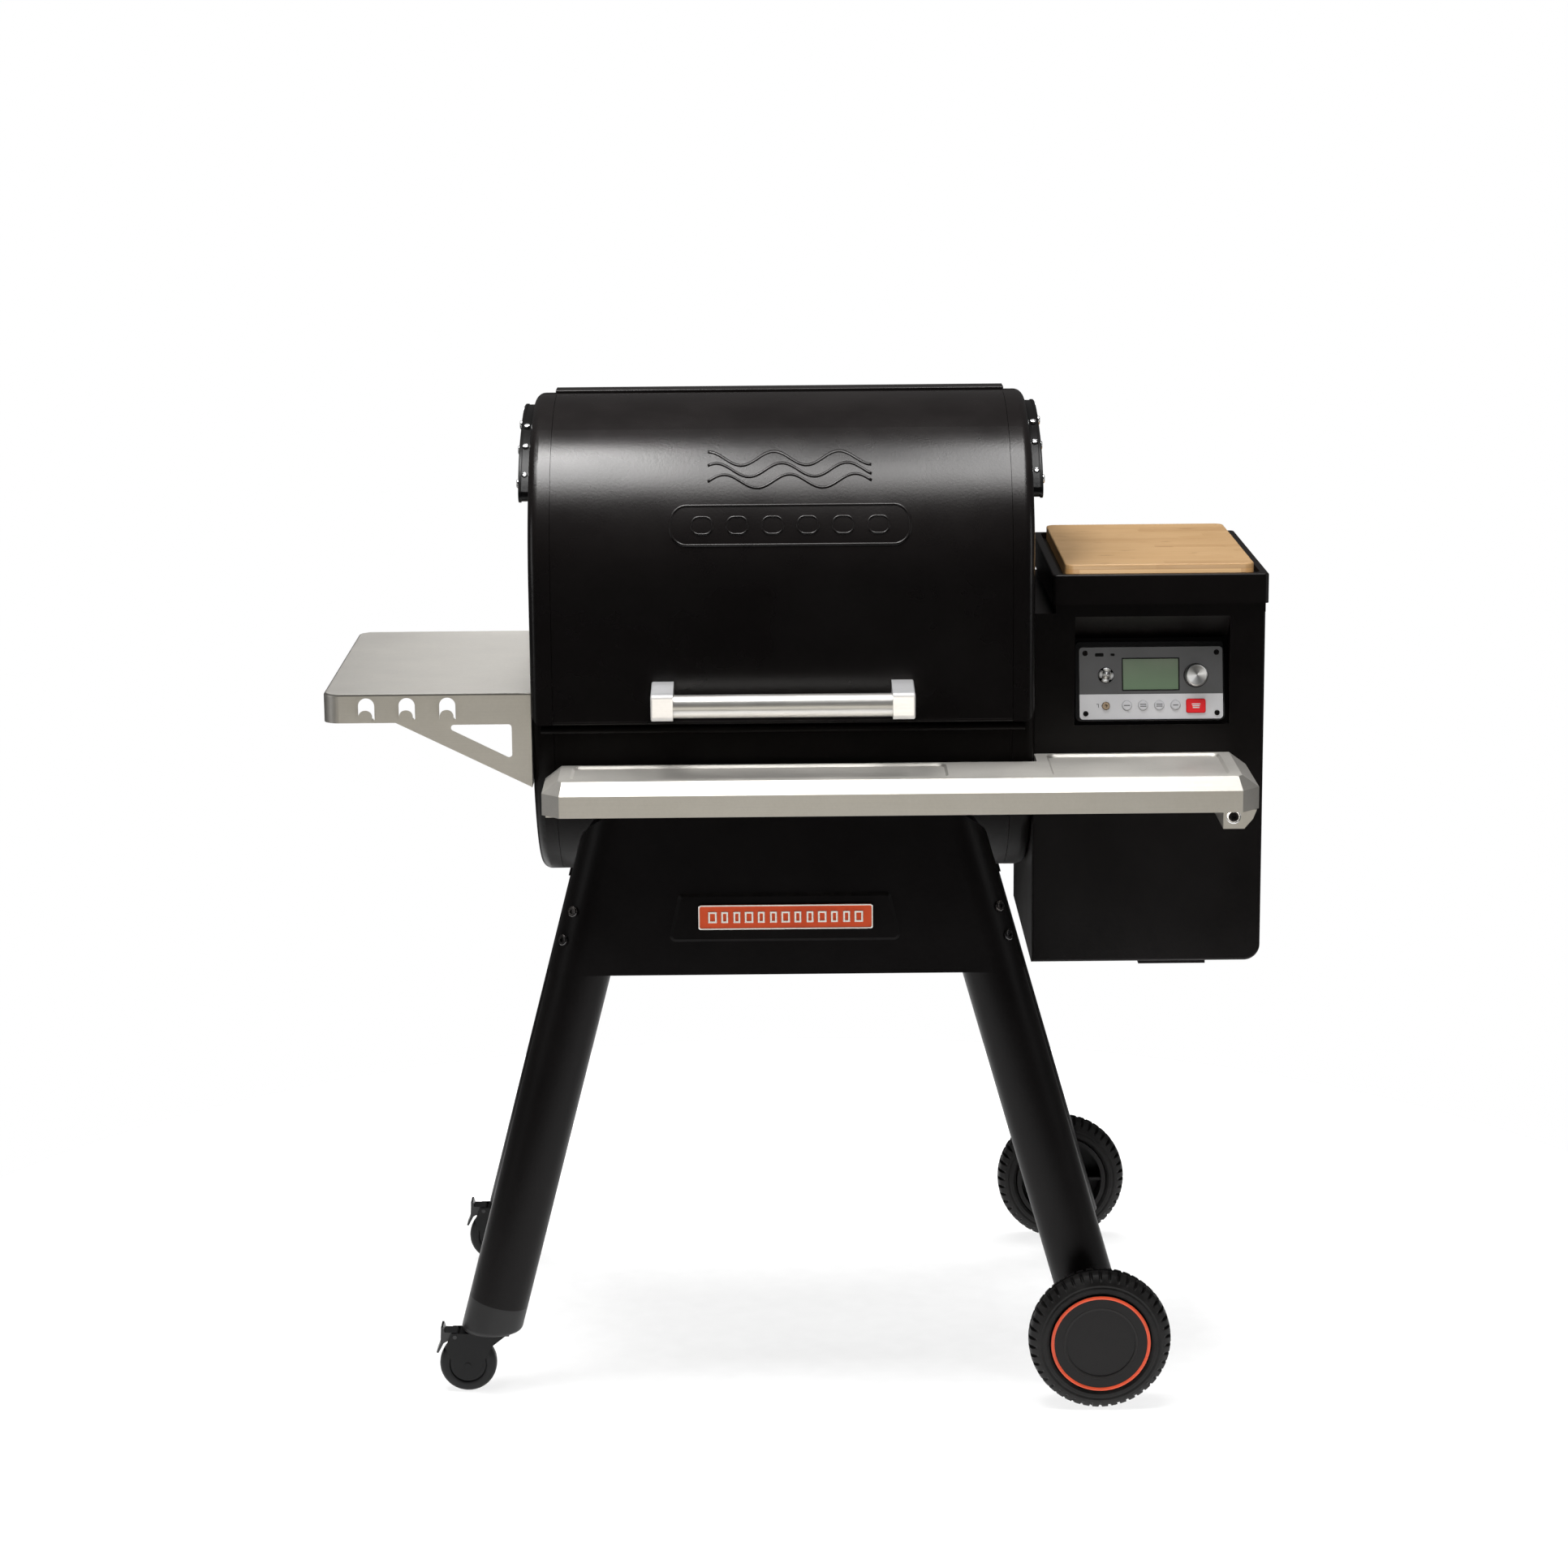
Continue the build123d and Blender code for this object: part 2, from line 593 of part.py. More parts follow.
auger_left = tube_left + 6
auger_right = tube_right + 16
pitch = 44.0
with BuildPart() as auger:
    with Locations((auger_left, 0, auger_z)):
        Cylinder(8, auger_right - auger_left, rotation=(0, 90, 0),
                 align=(Align.CENTER, Align.CENTER, Align.MIN))
    with BuildPart(mode=Mode.PRIVATE) as flight:
        with BuildSketch(Plane(origin=(15.5, 0, 0), x_dir=(1, 0, 0), z_dir=(0, 1, 0))):
            Rectangle(16, 3)
        sweep(path=Helix(pitch, auger_right - auger_left - 40, 15.5), is_frenet=True)
    add(Location((auger_left + 12, 0, auger_z), (0, 90, 0)) * flight.part)
auger.part.label = "auger"
export_step(auger.part, "parts/auger.step")

with BuildPart() as auger_motor:
    with Locations((tube_right + 34, 0, auger_z)):
        Box(52, 70, 82)
        fillet(auger_motor.edges().filter_by(Axis.X), 6)
    with Locations((tube_right + 8, 0, auger_z)):
        Cylinder(8 + running_fit, 20, rotation=(0, 90, 0), mode=Mode.SUBTRACT)
    with Locations((tube_right + 34, 0, auger_z - 41)):
        Cylinder(24, 44, align=(Align.CENTER, Align.CENTER, Align.MAX))
auger_motor.part.label = "auger_motor"
export_step(auger_motor.part, "parts/auger_motor.step")

fan_x = barrel_x + 368
fan_y = -105.0
fan_z = 690.0
duct_left = barrel_x + barrel_half - sheet - 2
duct_right = fan_x - 22
duct_z = fan_z + 38
with BuildPart() as fan_housing:
    with Locations((fan_x, fan_y, fan_z)):
        Cylinder(52, 44, rotation=(90, 0, 0))
    with Locations(((duct_left + duct_right) / 2, fan_y, duct_z)):
        Box(duct_right - duct_left, 44, 28)
        Box(duct_right - duct_left, 40, 24, mode=Mode.SUBTRACT)
    with Locations((fan_x, fan_y, fan_z)):
        Cylinder(50, 40, rotation=(90, 0, 0), mode=Mode.SUBTRACT)
        Cylinder(26, 60, rotation=(90, 0, 0), mode=Mode.SUBTRACT)
    # motor behind the rotor, on three arms
    with Locations((fan_x, fan_y + 40, fan_z)):
        Cylinder(24, 30, rotation=(90, 0, 0))
    with Locations(Plane(origin=(fan_x, fan_y + 23.5, fan_z), z_dir=(0, 1, 0))):
        with PolarLocations(18, 3):
            Box(36, 8, 3)
    with Locations((fan_x, fan_y + 30, fan_z)):
        Cylinder(3 + running_fit, 24, rotation=(90, 0, 0), mode=Mode.SUBTRACT)
fan_housing.part.label = "fan_housing"
export_step(fan_housing.part, "parts/fan_housing.step")

with BuildPart() as fan_rotor:
    with Locations((fan_x, fan_y, fan_z)):
        Cylinder(42, 2, rotation=(90, 0, 0))
        Cylinder(9, 24, rotation=(90, 0, 0))
    with Locations(Plane(origin=(fan_x, fan_y, fan_z), z_dir=(0, 1, 0))):
        with PolarLocations(36, 16):
            Box(11, 1.6, 30, rotation=(0, 0, 35))
    with Locations((fan_x, fan_y + 20, fan_z)):
        Cylinder(3, 40, rotation=(90, 0, 0))
fan_rotor.part.label = "fan_rotor"
export_step(fan_rotor.part, "parts/fan_rotor.step")

# ---------------------------------------------------------------- hopper

hopper_wide = hopper_right - hopper_left
hopper_mid_x = (hopper_right + hopper_left) / 2
hopper_mid_y = (hopper_front + hopper_back) / 2
hopper_deep = hopper_back - hopper_front
collar_left = lid_left + 5
collar_mid_x = (collar_left + hopper_right) / 2
pocket_left = barrel_x + 361.8
pocket_wide = 192.0
bin_front = -120.0
bin_back = 163.0
bin_left = collar_left + 6
bin_right = hopper_right - 8
bin_mid = ((bin_left + bin_right) / 2, (bin_front + bin_back) / 2)
bin_size = (bin_right - bin_left, bin_back - bin_front)



def pocket_back(z):
    """Y of the pocket's leaning back wall at height z, just behind the control bezel."""
    lean = radians(panel_tilt)
    return panel_origin[1] + (bezel_deep + 0.1) / cos(lean) + (z - panel_origin[2]) * tan(lean)


with BuildPart() as hopper_body:
    with Locations((hopper_mid_x, hopper_mid_y, hopper_bottom)):
        Box(hopper_wide, hopper_deep, hopper_deck - hopper_bottom,
            align=(Align.CENTER, Align.CENTER, Align.MIN))
    fillet(hopper_body.edges().filter_by(Axis.Y).sort_by(Axis.Z)[:2].sort_by(Axis.X)[-1], 20)
    fillet(hopper_body.edges().filter_by(Axis.Z).group_by(Axis.Y)[0], 3)
    with Locations((collar_mid_x, hopper_mid_y, hopper_deck)):
        Box(hopper_right - collar_left, hopper_deep, collar_top - hopper_deck,
            align=(Align.CENTER, Align.CENTER, Align.MIN))
    with Locations((hopper_mid_x, hopper_mid_y, hopper_bottom + sheet)):
        Box(hopper_wide - 2 * sheet, hopper_deep - 2 * sheet,
            hopper_deck - hopper_bottom - 2 * sheet,
            align=(Align.CENTER, Align.CENTER, Align.MIN), mode=Mode.SUBTRACT)
    with Locations((*bin_mid, hopper_deck - sheet - 1)):
        Box(bin_size[0] + 0.6, bin_size[1] + 0.6, 10,
            align=(Align.CENTER, Align.CENTER, Align.MIN), mode=Mode.SUBTRACT)
    with Locations((collar_mid_x, hopper_mid_y, hopper_deck)):
        Box(hopper_right - collar_left - 2 * sheet, hopper_deep - 2 * sheet, 40,
            align=(Align.CENTER, Align.CENTER, Align.MIN), mode=Mode.SUBTRACT)
    # pocket for the control panel: slanted upper wall, leaning back wall
    with BuildSketch(Plane.YZ.offset(pocket_left - sheet)):
        with BuildLine():
            Polyline((hopper_front, 835.5), (hopper_front, 976), (pocket_back(943) + sheet, 943),
                     (pocket_back(835.5) + sheet, 835.5), close=True)
        make_face()
    extrude(amount=pocket_wide + 2 * sheet)
    with BuildSketch(Plane.YZ.offset(pocket_left)):
        with BuildLine():
            Polyline((-195, 837.5), (-195, 973.5), (hopper_front, 973.5), (pocket_back(941), 941),
                     (pocket_back(837.5), 837.5), close=True)
        make_face()
    extrude(amount=pocket_wide, mode=Mode.SUBTRACT)
    # holes in the left wall for the auger tube and the fan outlet
    with Locations((hopper_left, 0, auger_z)):
        Cylinder(tube_radius + 0.5, 20, rotation=(0, 90, 0), mode=Mode.SUBTRACT)
    with Locations((hopper_left, fan_y, duct_z)):
        Box(20, 44.6, 28.6, mode=Mode.SUBTRACT)
    # rear hinge knuckles
    for knuckle_x in (hopper_mid_x - 60, hopper_mid_x + 60):
        with Locations((knuckle_x, lid_hinge_y, lid_hinge_z)):
            Cylinder(5, 20, rotation=(0, 90, 0))
        with Locations((knuckle_x, (hopper_back + lid_hinge_y) / 2, lid_hinge_z - 3.5)):
            Box(20, lid_hinge_y - hopper_back, 3)
        with Locations((knuckle_x, lid_hinge_y, lid_hinge_z)):
            Cylinder(hinge_rod, 30, rotation=(0, 90, 0), mode=Mode.SUBTRACT)
    # opening for the power inlet, and the clean-out plate under the floor
    with Locations((hopper_mid_x + 70, hopper_back, 590)):
        Box(29, 20, 22, mode=Mode.SUBTRACT)
    with Locations((barrel_x + 487, -120, hopper_bottom)):
        Box(84, 110, 5, align=(Align.CENTER, Align.CENTER, Align.MAX))
hopper_body.part.label = "hopper_body"
export_step(hopper_body.part, "parts/hopper_body.step")

bin_top = hopper_deck - sheet - 1.2
bin_waist = bin_top - 150
bin_mouth = auger_z + tube_radius + 1.5
with BuildPart() as pellet_bin:
    for inset, mode in ((0, Mode.ADD), (steel, Mode.SUBTRACT)):
        wide = bin_size[0] - 2 * inset
        deep = bin_size[1] - 2 * inset
        with BuildSketch(Plane.XY.offset(bin_waist)):
            with Locations(bin_mid):
                Rectangle(wide, deep)
        extrude(amount=bin_top - bin_waist, mode=mode)
        with BuildSketch(Plane.XY.offset(bin_waist)):
            with Locations(bin_mid):
                Rectangle(wide, deep)
        with BuildSketch(Plane.XY.offset(bin_mouth)):
            with Locations((feed_x, 0)):
                Rectangle(52 - 2 * inset, 42 - 2 * inset)
        loft(mode=mode)
pellet_bin.part.label = "pellet_bin"
export_step(pellet_bin.part, "parts/pellet_bin.step")

guard_z = 935.0
with BuildPart() as finger_guard:
    with Locations((*bin_mid, guard_z)):
        Box(bin_size[0] - 2 * steel - 1, bin_size[1] - 2 * steel - 1, 4)
        Box(bin_size[0] - 2 * steel - 9, bin_size[1] - 2 * steel - 9, 10, mode=Mode.SUBTRACT)
        with GridLocations(26, 1, 8, 1):
            Box(3, bin_size[1] - 2 * steel - 4, 3)
        with GridLocations(1, 60, 1, 4):
            Box(bin_size[0] - 2 * steel - 4, 3, 3)
finger_guard.part.label = "finger_guard"
export_step(finger_guard.part, "parts/finger_guard.step")

lid_mid = ((lid_left + lid_right) / 2, (lid_front + lid_back) / 2)
lid_size = (lid_right - lid_left, lid_back - lid_front)
with BuildPart() as hopper_lid:
    with Locations((*lid_mid, lid_skirt_z)):
        Box(*lid_size, lid_rim_z - lid_skirt_z, align=(Align.CENTER, Align.CENTER, Align.MIN))
    fillet(hopper_lid.edges().filter_by(Axis.Z), 6)
    fillet(hopper_lid.edges().group_by(Axis.Z)[-1], 2.5)
    with Locations((*lid_mid, lid_skirt_z)):
        Box(lid_size[0] - 2 * sheet, lid_size[1] - 2 * sheet, recess_z - sheet - lid_skirt_z,
            align=(Align.CENTER, Align.CENTER, Align.MIN), mode=Mode.SUBTRACT)
    with BuildSketch(Plane.XY.offset(lid_rim_z)):
        with Locations(lid_mid):
            RectangleRounded(lid_size[0] - 2 * lid_rim, lid_size[1] - 2 * lid_rim, 8)
    extrude(amount=recess_z - lid_rim_z, mode=Mode.SUBTRACT)
    # hinge leaf and knuckle behind the skirt
    with Locations((hopper_mid_x, lid_back + 1.1, lid_hinge_z + 14)):
        Box(98, 2.2, 28)
    with Locations((hopper_mid_x, lid_hinge_y, lid_hinge_z)):
        Cylinder(5, 98, rotation=(0, 90, 0))
        Cylinder(hinge_rod + running_fit, 120, rotation=(0, 90, 0), mode=Mode.SUBTRACT)
hopper_lid.part.label = "hopper_lid"
export_step(hopper_lid.part, "parts/hopper_lid.step")

with BuildPart() as cutting_board:
    with Locations((*lid_mid, recess_z + board_gap)):
        Box(*board_size, align=(Align.CENTER, Align.CENTER, Align.MIN))
    fillet(cutting_board.edges().filter_by(Axis.Z), 12)
    fillet(cutting_board.edges().group_by(Axis.Z)[-1], 2)
    fillet(cutting_board.edges().group_by(Axis.Z)[0], 1.5)
cutting_board.part.label = "cutting_board"
export_step(cutting_board.part, "parts/cutting_board.step")

with BuildPart() as power_inlet:
    with Locations((hopper_mid_x + 70, hopper_back + 2, 590)):
        Box(48, 3.6, 30)
    with Locations((hopper_mid_x + 70, hopper_back - 10, 590)):
        Box(28, 22, 21)
    with Locations((hopper_mid_x + 70, hopper_back + 4, 590)):
        Box(24, 34, 17, mode=Mode.SUBTRACT)
    with Locations((hopper_mid_x + 70, hopper_back - 14.5, 590)):
        with GridLocations(7, 1, 3, 1):
            Box(2, 12, 6)
power_inlet.part.label = "power_inlet"
export_step(power_inlet.part, "parts/power_inlet.step")

# ---------------------------------------------------------------- control panel

panel = Plane(origin=panel_origin, x_dir=(1, 0, 0),
              z_dir=(0, -cos(radians(panel_tilt)), sin(radians(panel_tilt))))
lcd_mid = (2.0, 9.0)
lcd_size = (70.6, 40.0)
knob_at = (58.0, 7.0)
jog_at = (-53.6, 8.0)
jack_at = (-54.0, -30.0)
menu_at = [(-27.9 + 20.1 * step, -29.7) for step in range(4)]
ignite_at = (57.7, -30.8)
panel_screws = [(faceplate_mid[0] + dx, faceplate_mid[1] + dy)
                for dx in (-81.5, 81.5) for dy in (-37.5, 37.5)]
plate_thick = 2.0

with BuildPart() as control_bezel:
    with BuildSketch(panel.offset(-bezel_deep)):
        with Locations((0.6, 0.7)):
            RectangleRounded(*bezel_size, 7)
    extrude(amount=bezel_deep + 1.5)
    fillet(control_bezel.faces().sort_by(Axis(panel_origin, panel.z_dir))[-1].edges(), 1.5)
    with BuildSketch(panel.offset(-plate_thick)):
        with Locations(faceplate_mid):
            RectangleRounded(faceplate_size[0] + 1, faceplate_size[1] + 1, 5)
    extrude(amount=10, mode=Mode.SUBTRACT)
    with BuildSketch(panel.offset(-bezel_deep + 1.5)):
        with Locations(knob_at):
            Circle(8)
        with Locations(jog_at):
            Circle(10)
        with Locations(*menu_at):
            Circle(7)
        with Locations(ignite_at):
            Rectangle(27, 20)
        with Locations(jack_at):
            Circle(5.2)
    extrude(amount=20, mode=Mode.SUBTRACT)
control_bezel.part.label = "control_bezel"
export_step(control_bezel.part, "parts/control_bezel.step")

with BuildPart() as faceplate:
    with BuildSketch(panel.offset(-plate_thick + 0.05)):
        with Locations(faceplate_mid):
            RectangleRounded(*faceplate_size, 4.5)
        with Locations(lcd_mid):
            Rectangle(*lcd_size, mode=Mode.SUBTRACT)
        with Locations(knob_at):
            Circle(3.5, mode=Mode.SUBTRACT)
        with Locations(jog_at):
            Circle(9.9, mode=Mode.SUBTRACT)
        with Locations(*menu_at):
            Circle(6.3, mode=Mode.SUBTRACT)
        with Locations(ignite_at):
            RectangleRounded(24.6, 17.9, 3, mode=Mode.SUBTRACT)
        with Locations(jack_at):
            Circle(5.1, mode=Mode.SUBTRACT)
    extrude(amount=plate_thick - 0.05)
faceplate.part.label = "faceplate"
export_step(faceplate.part, "parts/faceplate.step")

with BuildPart() as display_glass:
    with BuildSketch(panel.offset(-plate_thick + 0.05)):
        with Locations(lcd_mid):
            Rectangle(lcd_size[0] - 0.2, lcd_size[1] - 0.2)
    extrude(amount=1.0)
display_glass.part.label = "display_glass"
export_step(display_glass.part, "parts/display_glass.step")

with BuildPart() as probe_jack:
    with BuildSketch(panel.offset(-bezel_deep + 1.6)):
        with Locations(jack_at):
            Circle(5)
    extrude(amount=bezel_deep + 0.4)
    with BuildSketch(panel.offset(2)):
        with Locations(jack_at):
            Circle(1.8)
    extrude(amount=-9, mode=Mode.SUBTRACT)
    fillet(probe_jack.faces().sort_by(Axis(panel_origin, panel.z_dir))[-1].outer_wire().edges(), 0.8)
probe_jack.part.label = "probe_jack"
export_step(probe_jack.part, "parts/probe_jack.step")

knob_high = 15.0
with BuildPart() as control_knob:
    with BuildSketch(panel.offset(1.2)):
        with Locations(knob_at):
            Circle(14)
    extrude(amount=knob_high)
    chamfer(control_knob.faces().sort_by(Axis(panel_origin, panel.z_dir))[-1].edges(), 1.5)
    with BuildSketch(panel.offset(-plate_thick - 5)):
        with Locations(knob_at):
            Circle(3.0)
    extrude(amount=10)
control_knob.part.label = "control_knob"
export_step(control_knob.part, "parts/control_knob.step")

button_travel = 1.2
with BuildPart() as jog_button:
    with BuildSketch(panel.offset(-4)):
        with Locations(jog_at):
            Circle(7)
    extrude(amount=4)
    with BuildSketch(panel.offset(-1.6)):
        with Locations(jog_at):
            Circle(9.5)
    extrude(amount=5.2)
    fillet(jog_button.faces().sort_by(Axis(panel_origin, panel.z_dir))[-1].edges(), 1.8)
jog_button.part.label = "jog_button"
export_step(jog_button.part, "parts/jog_button.step")

for number, spot in enumerate(menu_at, start=1):
    with BuildPart() as menu_button:
        with BuildSketch(panel.offset(-6)):
            with Locations(spot):
                Circle(6.0)
        extrude(amount=8)
        fillet(menu_button.faces().sort_by(Axis(panel_origin, panel.z_dir))[-1].edges(), 1.5)
    menu_button.part.label = f"menu_button_{number}"
    export_step(menu_button.part, f"parts/menu_button_{number}.step")

with BuildPart() as ignite_button:
    with BuildSketch(panel.offset(-6)):
        with Locations(ignite_at):
            RectangleRounded(24, 17.3, 2.8)
    extrude(amount=8.2)
    fillet(ignite_button.faces().sort_by(Axis(panel_origin, panel.z_dir))[-1].edges(), 1.2)
ignite_button.part.label = "ignite_button"
export_step(ignite_button.part, "parts/ignite_button.step")

# ---------------------------------------------------------------- shelves

def shelf_plan(left, front, right, cut):
    """Corners of the front shelf: it steps back beside the barrel to meet the hopper."""
    return [(left, shelf_back_y), (left, front + cut), (left + cut, front),
            (right - cut, front), (right, front + cut),
            (right, shelf_back_hopper_y), (shelf_step_x, shelf_back_hopper_y),
            (shelf_step_x, shelf_back_y)]


tray_deep = 3.0
trays = ((barrel_x - 259, barrel_x + 200, -236.0), (barrel_x + 326, barrel_x + 541, -190.0))
with BuildPart() as front_shelf:
    with BuildSketch(Plane.XY.offset(shelf_bottom)):
        with BuildLine():
            Polyline(*shelf_plan(shelf_left, shelf_front_y, shelf_right, 22), close=True)
        make_face()
    extrude(amount=shelf_chamfer_z - shelf_bottom)
    with BuildSketch(Plane.XY.offset(shelf_chamfer_z)):
        with BuildLine():
            Polyline(*shelf_plan(shelf_left, shelf_front_y, shelf_right, 22), close=True)
        make_face()
    with BuildSketch(Plane.XY.offset(shelf_top)):
        with BuildLine():
            Polyline(*shelf_plan(shelf_left_crease, shelf_crease_y, shelf_right_crease, 5),
                     close=True)
        make_face()
    loft()
    for tray_left, tray_right, tray_back in trays:
        with BuildSketch(Plane.XY.offset(shelf_top)):
            with Locations(((tray_left + tray_right) / 2, (tray_back - 316) / 2)):
                RectangleRounded(tray_right - tray_left, tray_back + 316, 12)
        extrude(amount=-tray_deep, taper=45, mode=Mode.SUBTRACT)
    offset(amount=-steel, openings=front_shelf.faces().filter_by(Axis.Z).sort_by(Axis.Z)[0])
front_shelf.part.label = "front_shelf"
export_step(front_shelf.part, "parts/front_shelf.step")

# Shelf brackets: folded steel channels from the barrel and from the hopper front.
with BuildPart() as shelf_brackets:
    with Locations((barrel_x + 544.7, -256, 760)):
        Box(26, 138, 48)
        Box(23, 135, 52, mode=Mode.SUBTRACT)
    with Locations((barrel_x + 532.45, -256, 777.4)):
        Box(steel, 120, 39.6)
    with BuildSketch(Plane.XZ.offset(323.4)):
        with BuildLine():
            Polyline((barrel_x + 557, 736), (barrel_x + 567.5, 748), (barrel_x + 572, 759.4),
                     (barrel_x + 557, 759.4), close=True)
        make_face()
    extrude(amount=steel)
    with Locations((barrel_x - 275, -277, 770.5)):
        Box(27, 88, 27)
        Box(24, 85, 31, mode=Mode.SUBTRACT)
    with Locations((barrel_x - 262.25, -277, 779)):
        Box(steel, 70, 42.8)
    with Locations((barrel_x, 0, body_centre_z)):
        Cylinder(body_radius + 0.1, 2 * barrel_half + 1, rotation=(0, 90, 0), mode=Mode.SUBTRACT)
shelf_brackets.part.label = "shelf_brackets"
export_step(shelf_brackets.part, "parts/shelf_brackets.step")

hook_x = [barrel_x - 511.5 + 49.8 * step for step in range(3)]
hook_low = 861.0
hook_wide = 20.0
hook_tall = 27.0
tongue_wide = 17.0
tongue_out = 14.0
tongue_up = 14.0
side_mid_x = (side_left + side_right) / 2
side_low = side_top - side_lip
with BuildSketch() as gusset_window:
    with BuildLine():
        Polyline((barrel_x - 421, 854), (barrel_x - 333.5, 854), (barrel_x - 333.5, 810), close=True)
    make_face()
    fillet(gusset_window.vertices(), 4)

with BuildPart() as side_shelf:
    with BuildSketch(Plane.XY.offset(side_low)) as top_plan:
        with Locations((side_mid_x, 0)):
            Rectangle(side_right - side_left, 2 * side_half)
        fillet(top_plan.vertices().group_by(Axis.X)[0], 20)
    extrude(amount=side_lip)
    fillet(side_shelf.edges().group_by(Axis.Z)[-1].filter_by_position(
        Axis.X, side_left - 1, side_right - 2), 3)
    offset(amount=-steel, openings=side_shelf.faces().filter_by(Axis.Z).sort_by(Axis.Z)[0])
    for face_y, into in ((-side_half, -1), (side_half, 1)):
        with BuildSketch(Plane.XZ.offset(-face_y)) as gusset:
            with BuildLine():
                Polyline((barrel_x - 476, side_low + 3), (barrel_x - 476, side_low),
                         (side_right, gusset_low), (side_right, side_low + 3), close=True)
            make_face()
            add(gusset_window.sketch, mode=Mode.SUBTRACT)
        extrude(amount=into * steel)
        with Locations((side_right - steel / 2, face_y - into * 14, (side_low + gusset_low) / 2 + 2)):
            Box(steel, 28, side_low - gusset_low + 4)
    for middle in hook_x:
        with BuildSketch(Plane.XZ.offset(side_half - 3)):
            with Locations((middle, hook_low + hook_tall - hook_wide / 2)):
                Circle(hook_wide / 2)
            with Locations((middle, hook_low + (hook_tall - hook_wide / 2) / 2)):
                Rectangle(hook_wide, hook_tall - hook_wide / 2)
        extrude(amount=6, mode=Mode.SUBTRACT)
        with Locations((middle, -side_half + steel / 2 - tongue_out / 2, hook_low + steel / 2)):
            Box(tongue_wide, tongue_out + steel, steel)
        with BuildSketch(Plane.XZ.offset(side_half + tongue_out - steel)) as tongue:
            with Locations((middle, hook_low + tongue_up / 2)):
                Rectangle(tongue_wide, tongue_up)
            fillet(tongue.vertices().group_by(Axis.Y)[-1], tongue_wide / 2 - 0.5)
        extrude(amount=steel)
        with Locations((middle, -side_half + steel / 2, hook_low)):
            Box(tongue_wide, steel, 2 * steel)
side_shelf.part.label = "side_shelf"
export_step(side_shelf.part, "parts/side_shelf.step")

# ---------------------------------------------------------------- pins and screws

with BuildPart() as hinge_pins:
    for side in (-1, 1):
        wall_x = barrel_x + side * (barrel_half - sheet - 8)
        with Locations((barrel_x + side * (barrel_half - sheet - 8) / 1, pivot_y, pivot_z)):
            Cylinder(pivot_radius, 8 + sheet + arm_gap + arm_thick + 0.5,
                     rotation=(0, 90, 0) if side > 0 else (0, -90, 0),
                     align=(Align.CENTER, Align.CENTER, Align.MIN))
        with Locations((barrel_x + side * (barrel_half + 0.1), pivot_y, pivot_z)):
            Cylinder(8, arm_gap - 0.6, rotation=(0, 90, 0) if side > 0 else (0, -90, 0),
                     align=(Align.CENTER, Align.CENTER, Align.MIN))
        with Locations((barrel_x + side * (arm_inner_x + arm_thick + 0.5), pivot_y, pivot_z)):
            Cylinder(8, 3.5, rotation=(0, 90, 0) if side > 0 else (0, -90, 0),
                     align=(Align.CENTER, Align.CENTER, Align.MIN))
    with Locations((hopper_mid_x, lid_hinge_y, lid_hinge_z)):
        Cylinder(hinge_rod, 142, rotation=(0, 90, 0))
hinge_pins.part.label = "hinge_pins"
export_step(hinge_pins.part, "parts/hinge_pins.step")

apron_bolts_left = ((-259.0, 629.4), (-271.8, 592.6))
apron_bolts_right = ((263.0, 631.0), (274.2, 594.0))
with BuildPart() as frame_screws:
    # apron bolts, square to the wrapped sheet
    for side, lean, spots in ((-1, left_lean, apron_bolts_left), (1, right_lean, apron_bolts_right)):
        for x, z in spots:
            away = (barrel_x + x - leg_x(side, z)) / (1 + lean ** 2)
            turn = sqrt(apron_outer ** 2 - away ** 2 * (1 + lean ** 2))
            seat = Plane(origin=(barrel_x + x, -leg_y - turn, z), z_dir=(away, -turn, -away * lean))
            add(seat.offset(0.05).location * button_head(7, 4))
    mirror(about=Plane.XZ)
    # control panel screws
    for spot in panel_screws:
        add(panel.location * Location((*spot, 0.05)) * button_head(3.4, 1.4))
    # shelf bracket screws
    add(Plane(origin=(barrel_x + 544, -325.1, 751), z_dir=(0, -1, 0)).location * button_head(6, 3))
frame_screws.part.label = "frame_screws"
export_step(frame_screws.part, "parts/frame_screws.step")

# ---------------------------------------------------------------- wheels

with BuildPart() as wheel_axle:
    with Locations((wheel_x, 0, wheel_radius)):
        Cylinder(axle_radius, 2 * (wheel_y + 13), rotation=(90, 0, 0))
        with Locations((0, leg_y + 46, 0), (0, -leg_y - 46, 0)):
            Cylinder(11, 12, rotation=(90, 0, 0))
wheel_axle.part.label = "wheel_axle"
export_step(wheel_axle.part, "parts/wheel_axle.step")

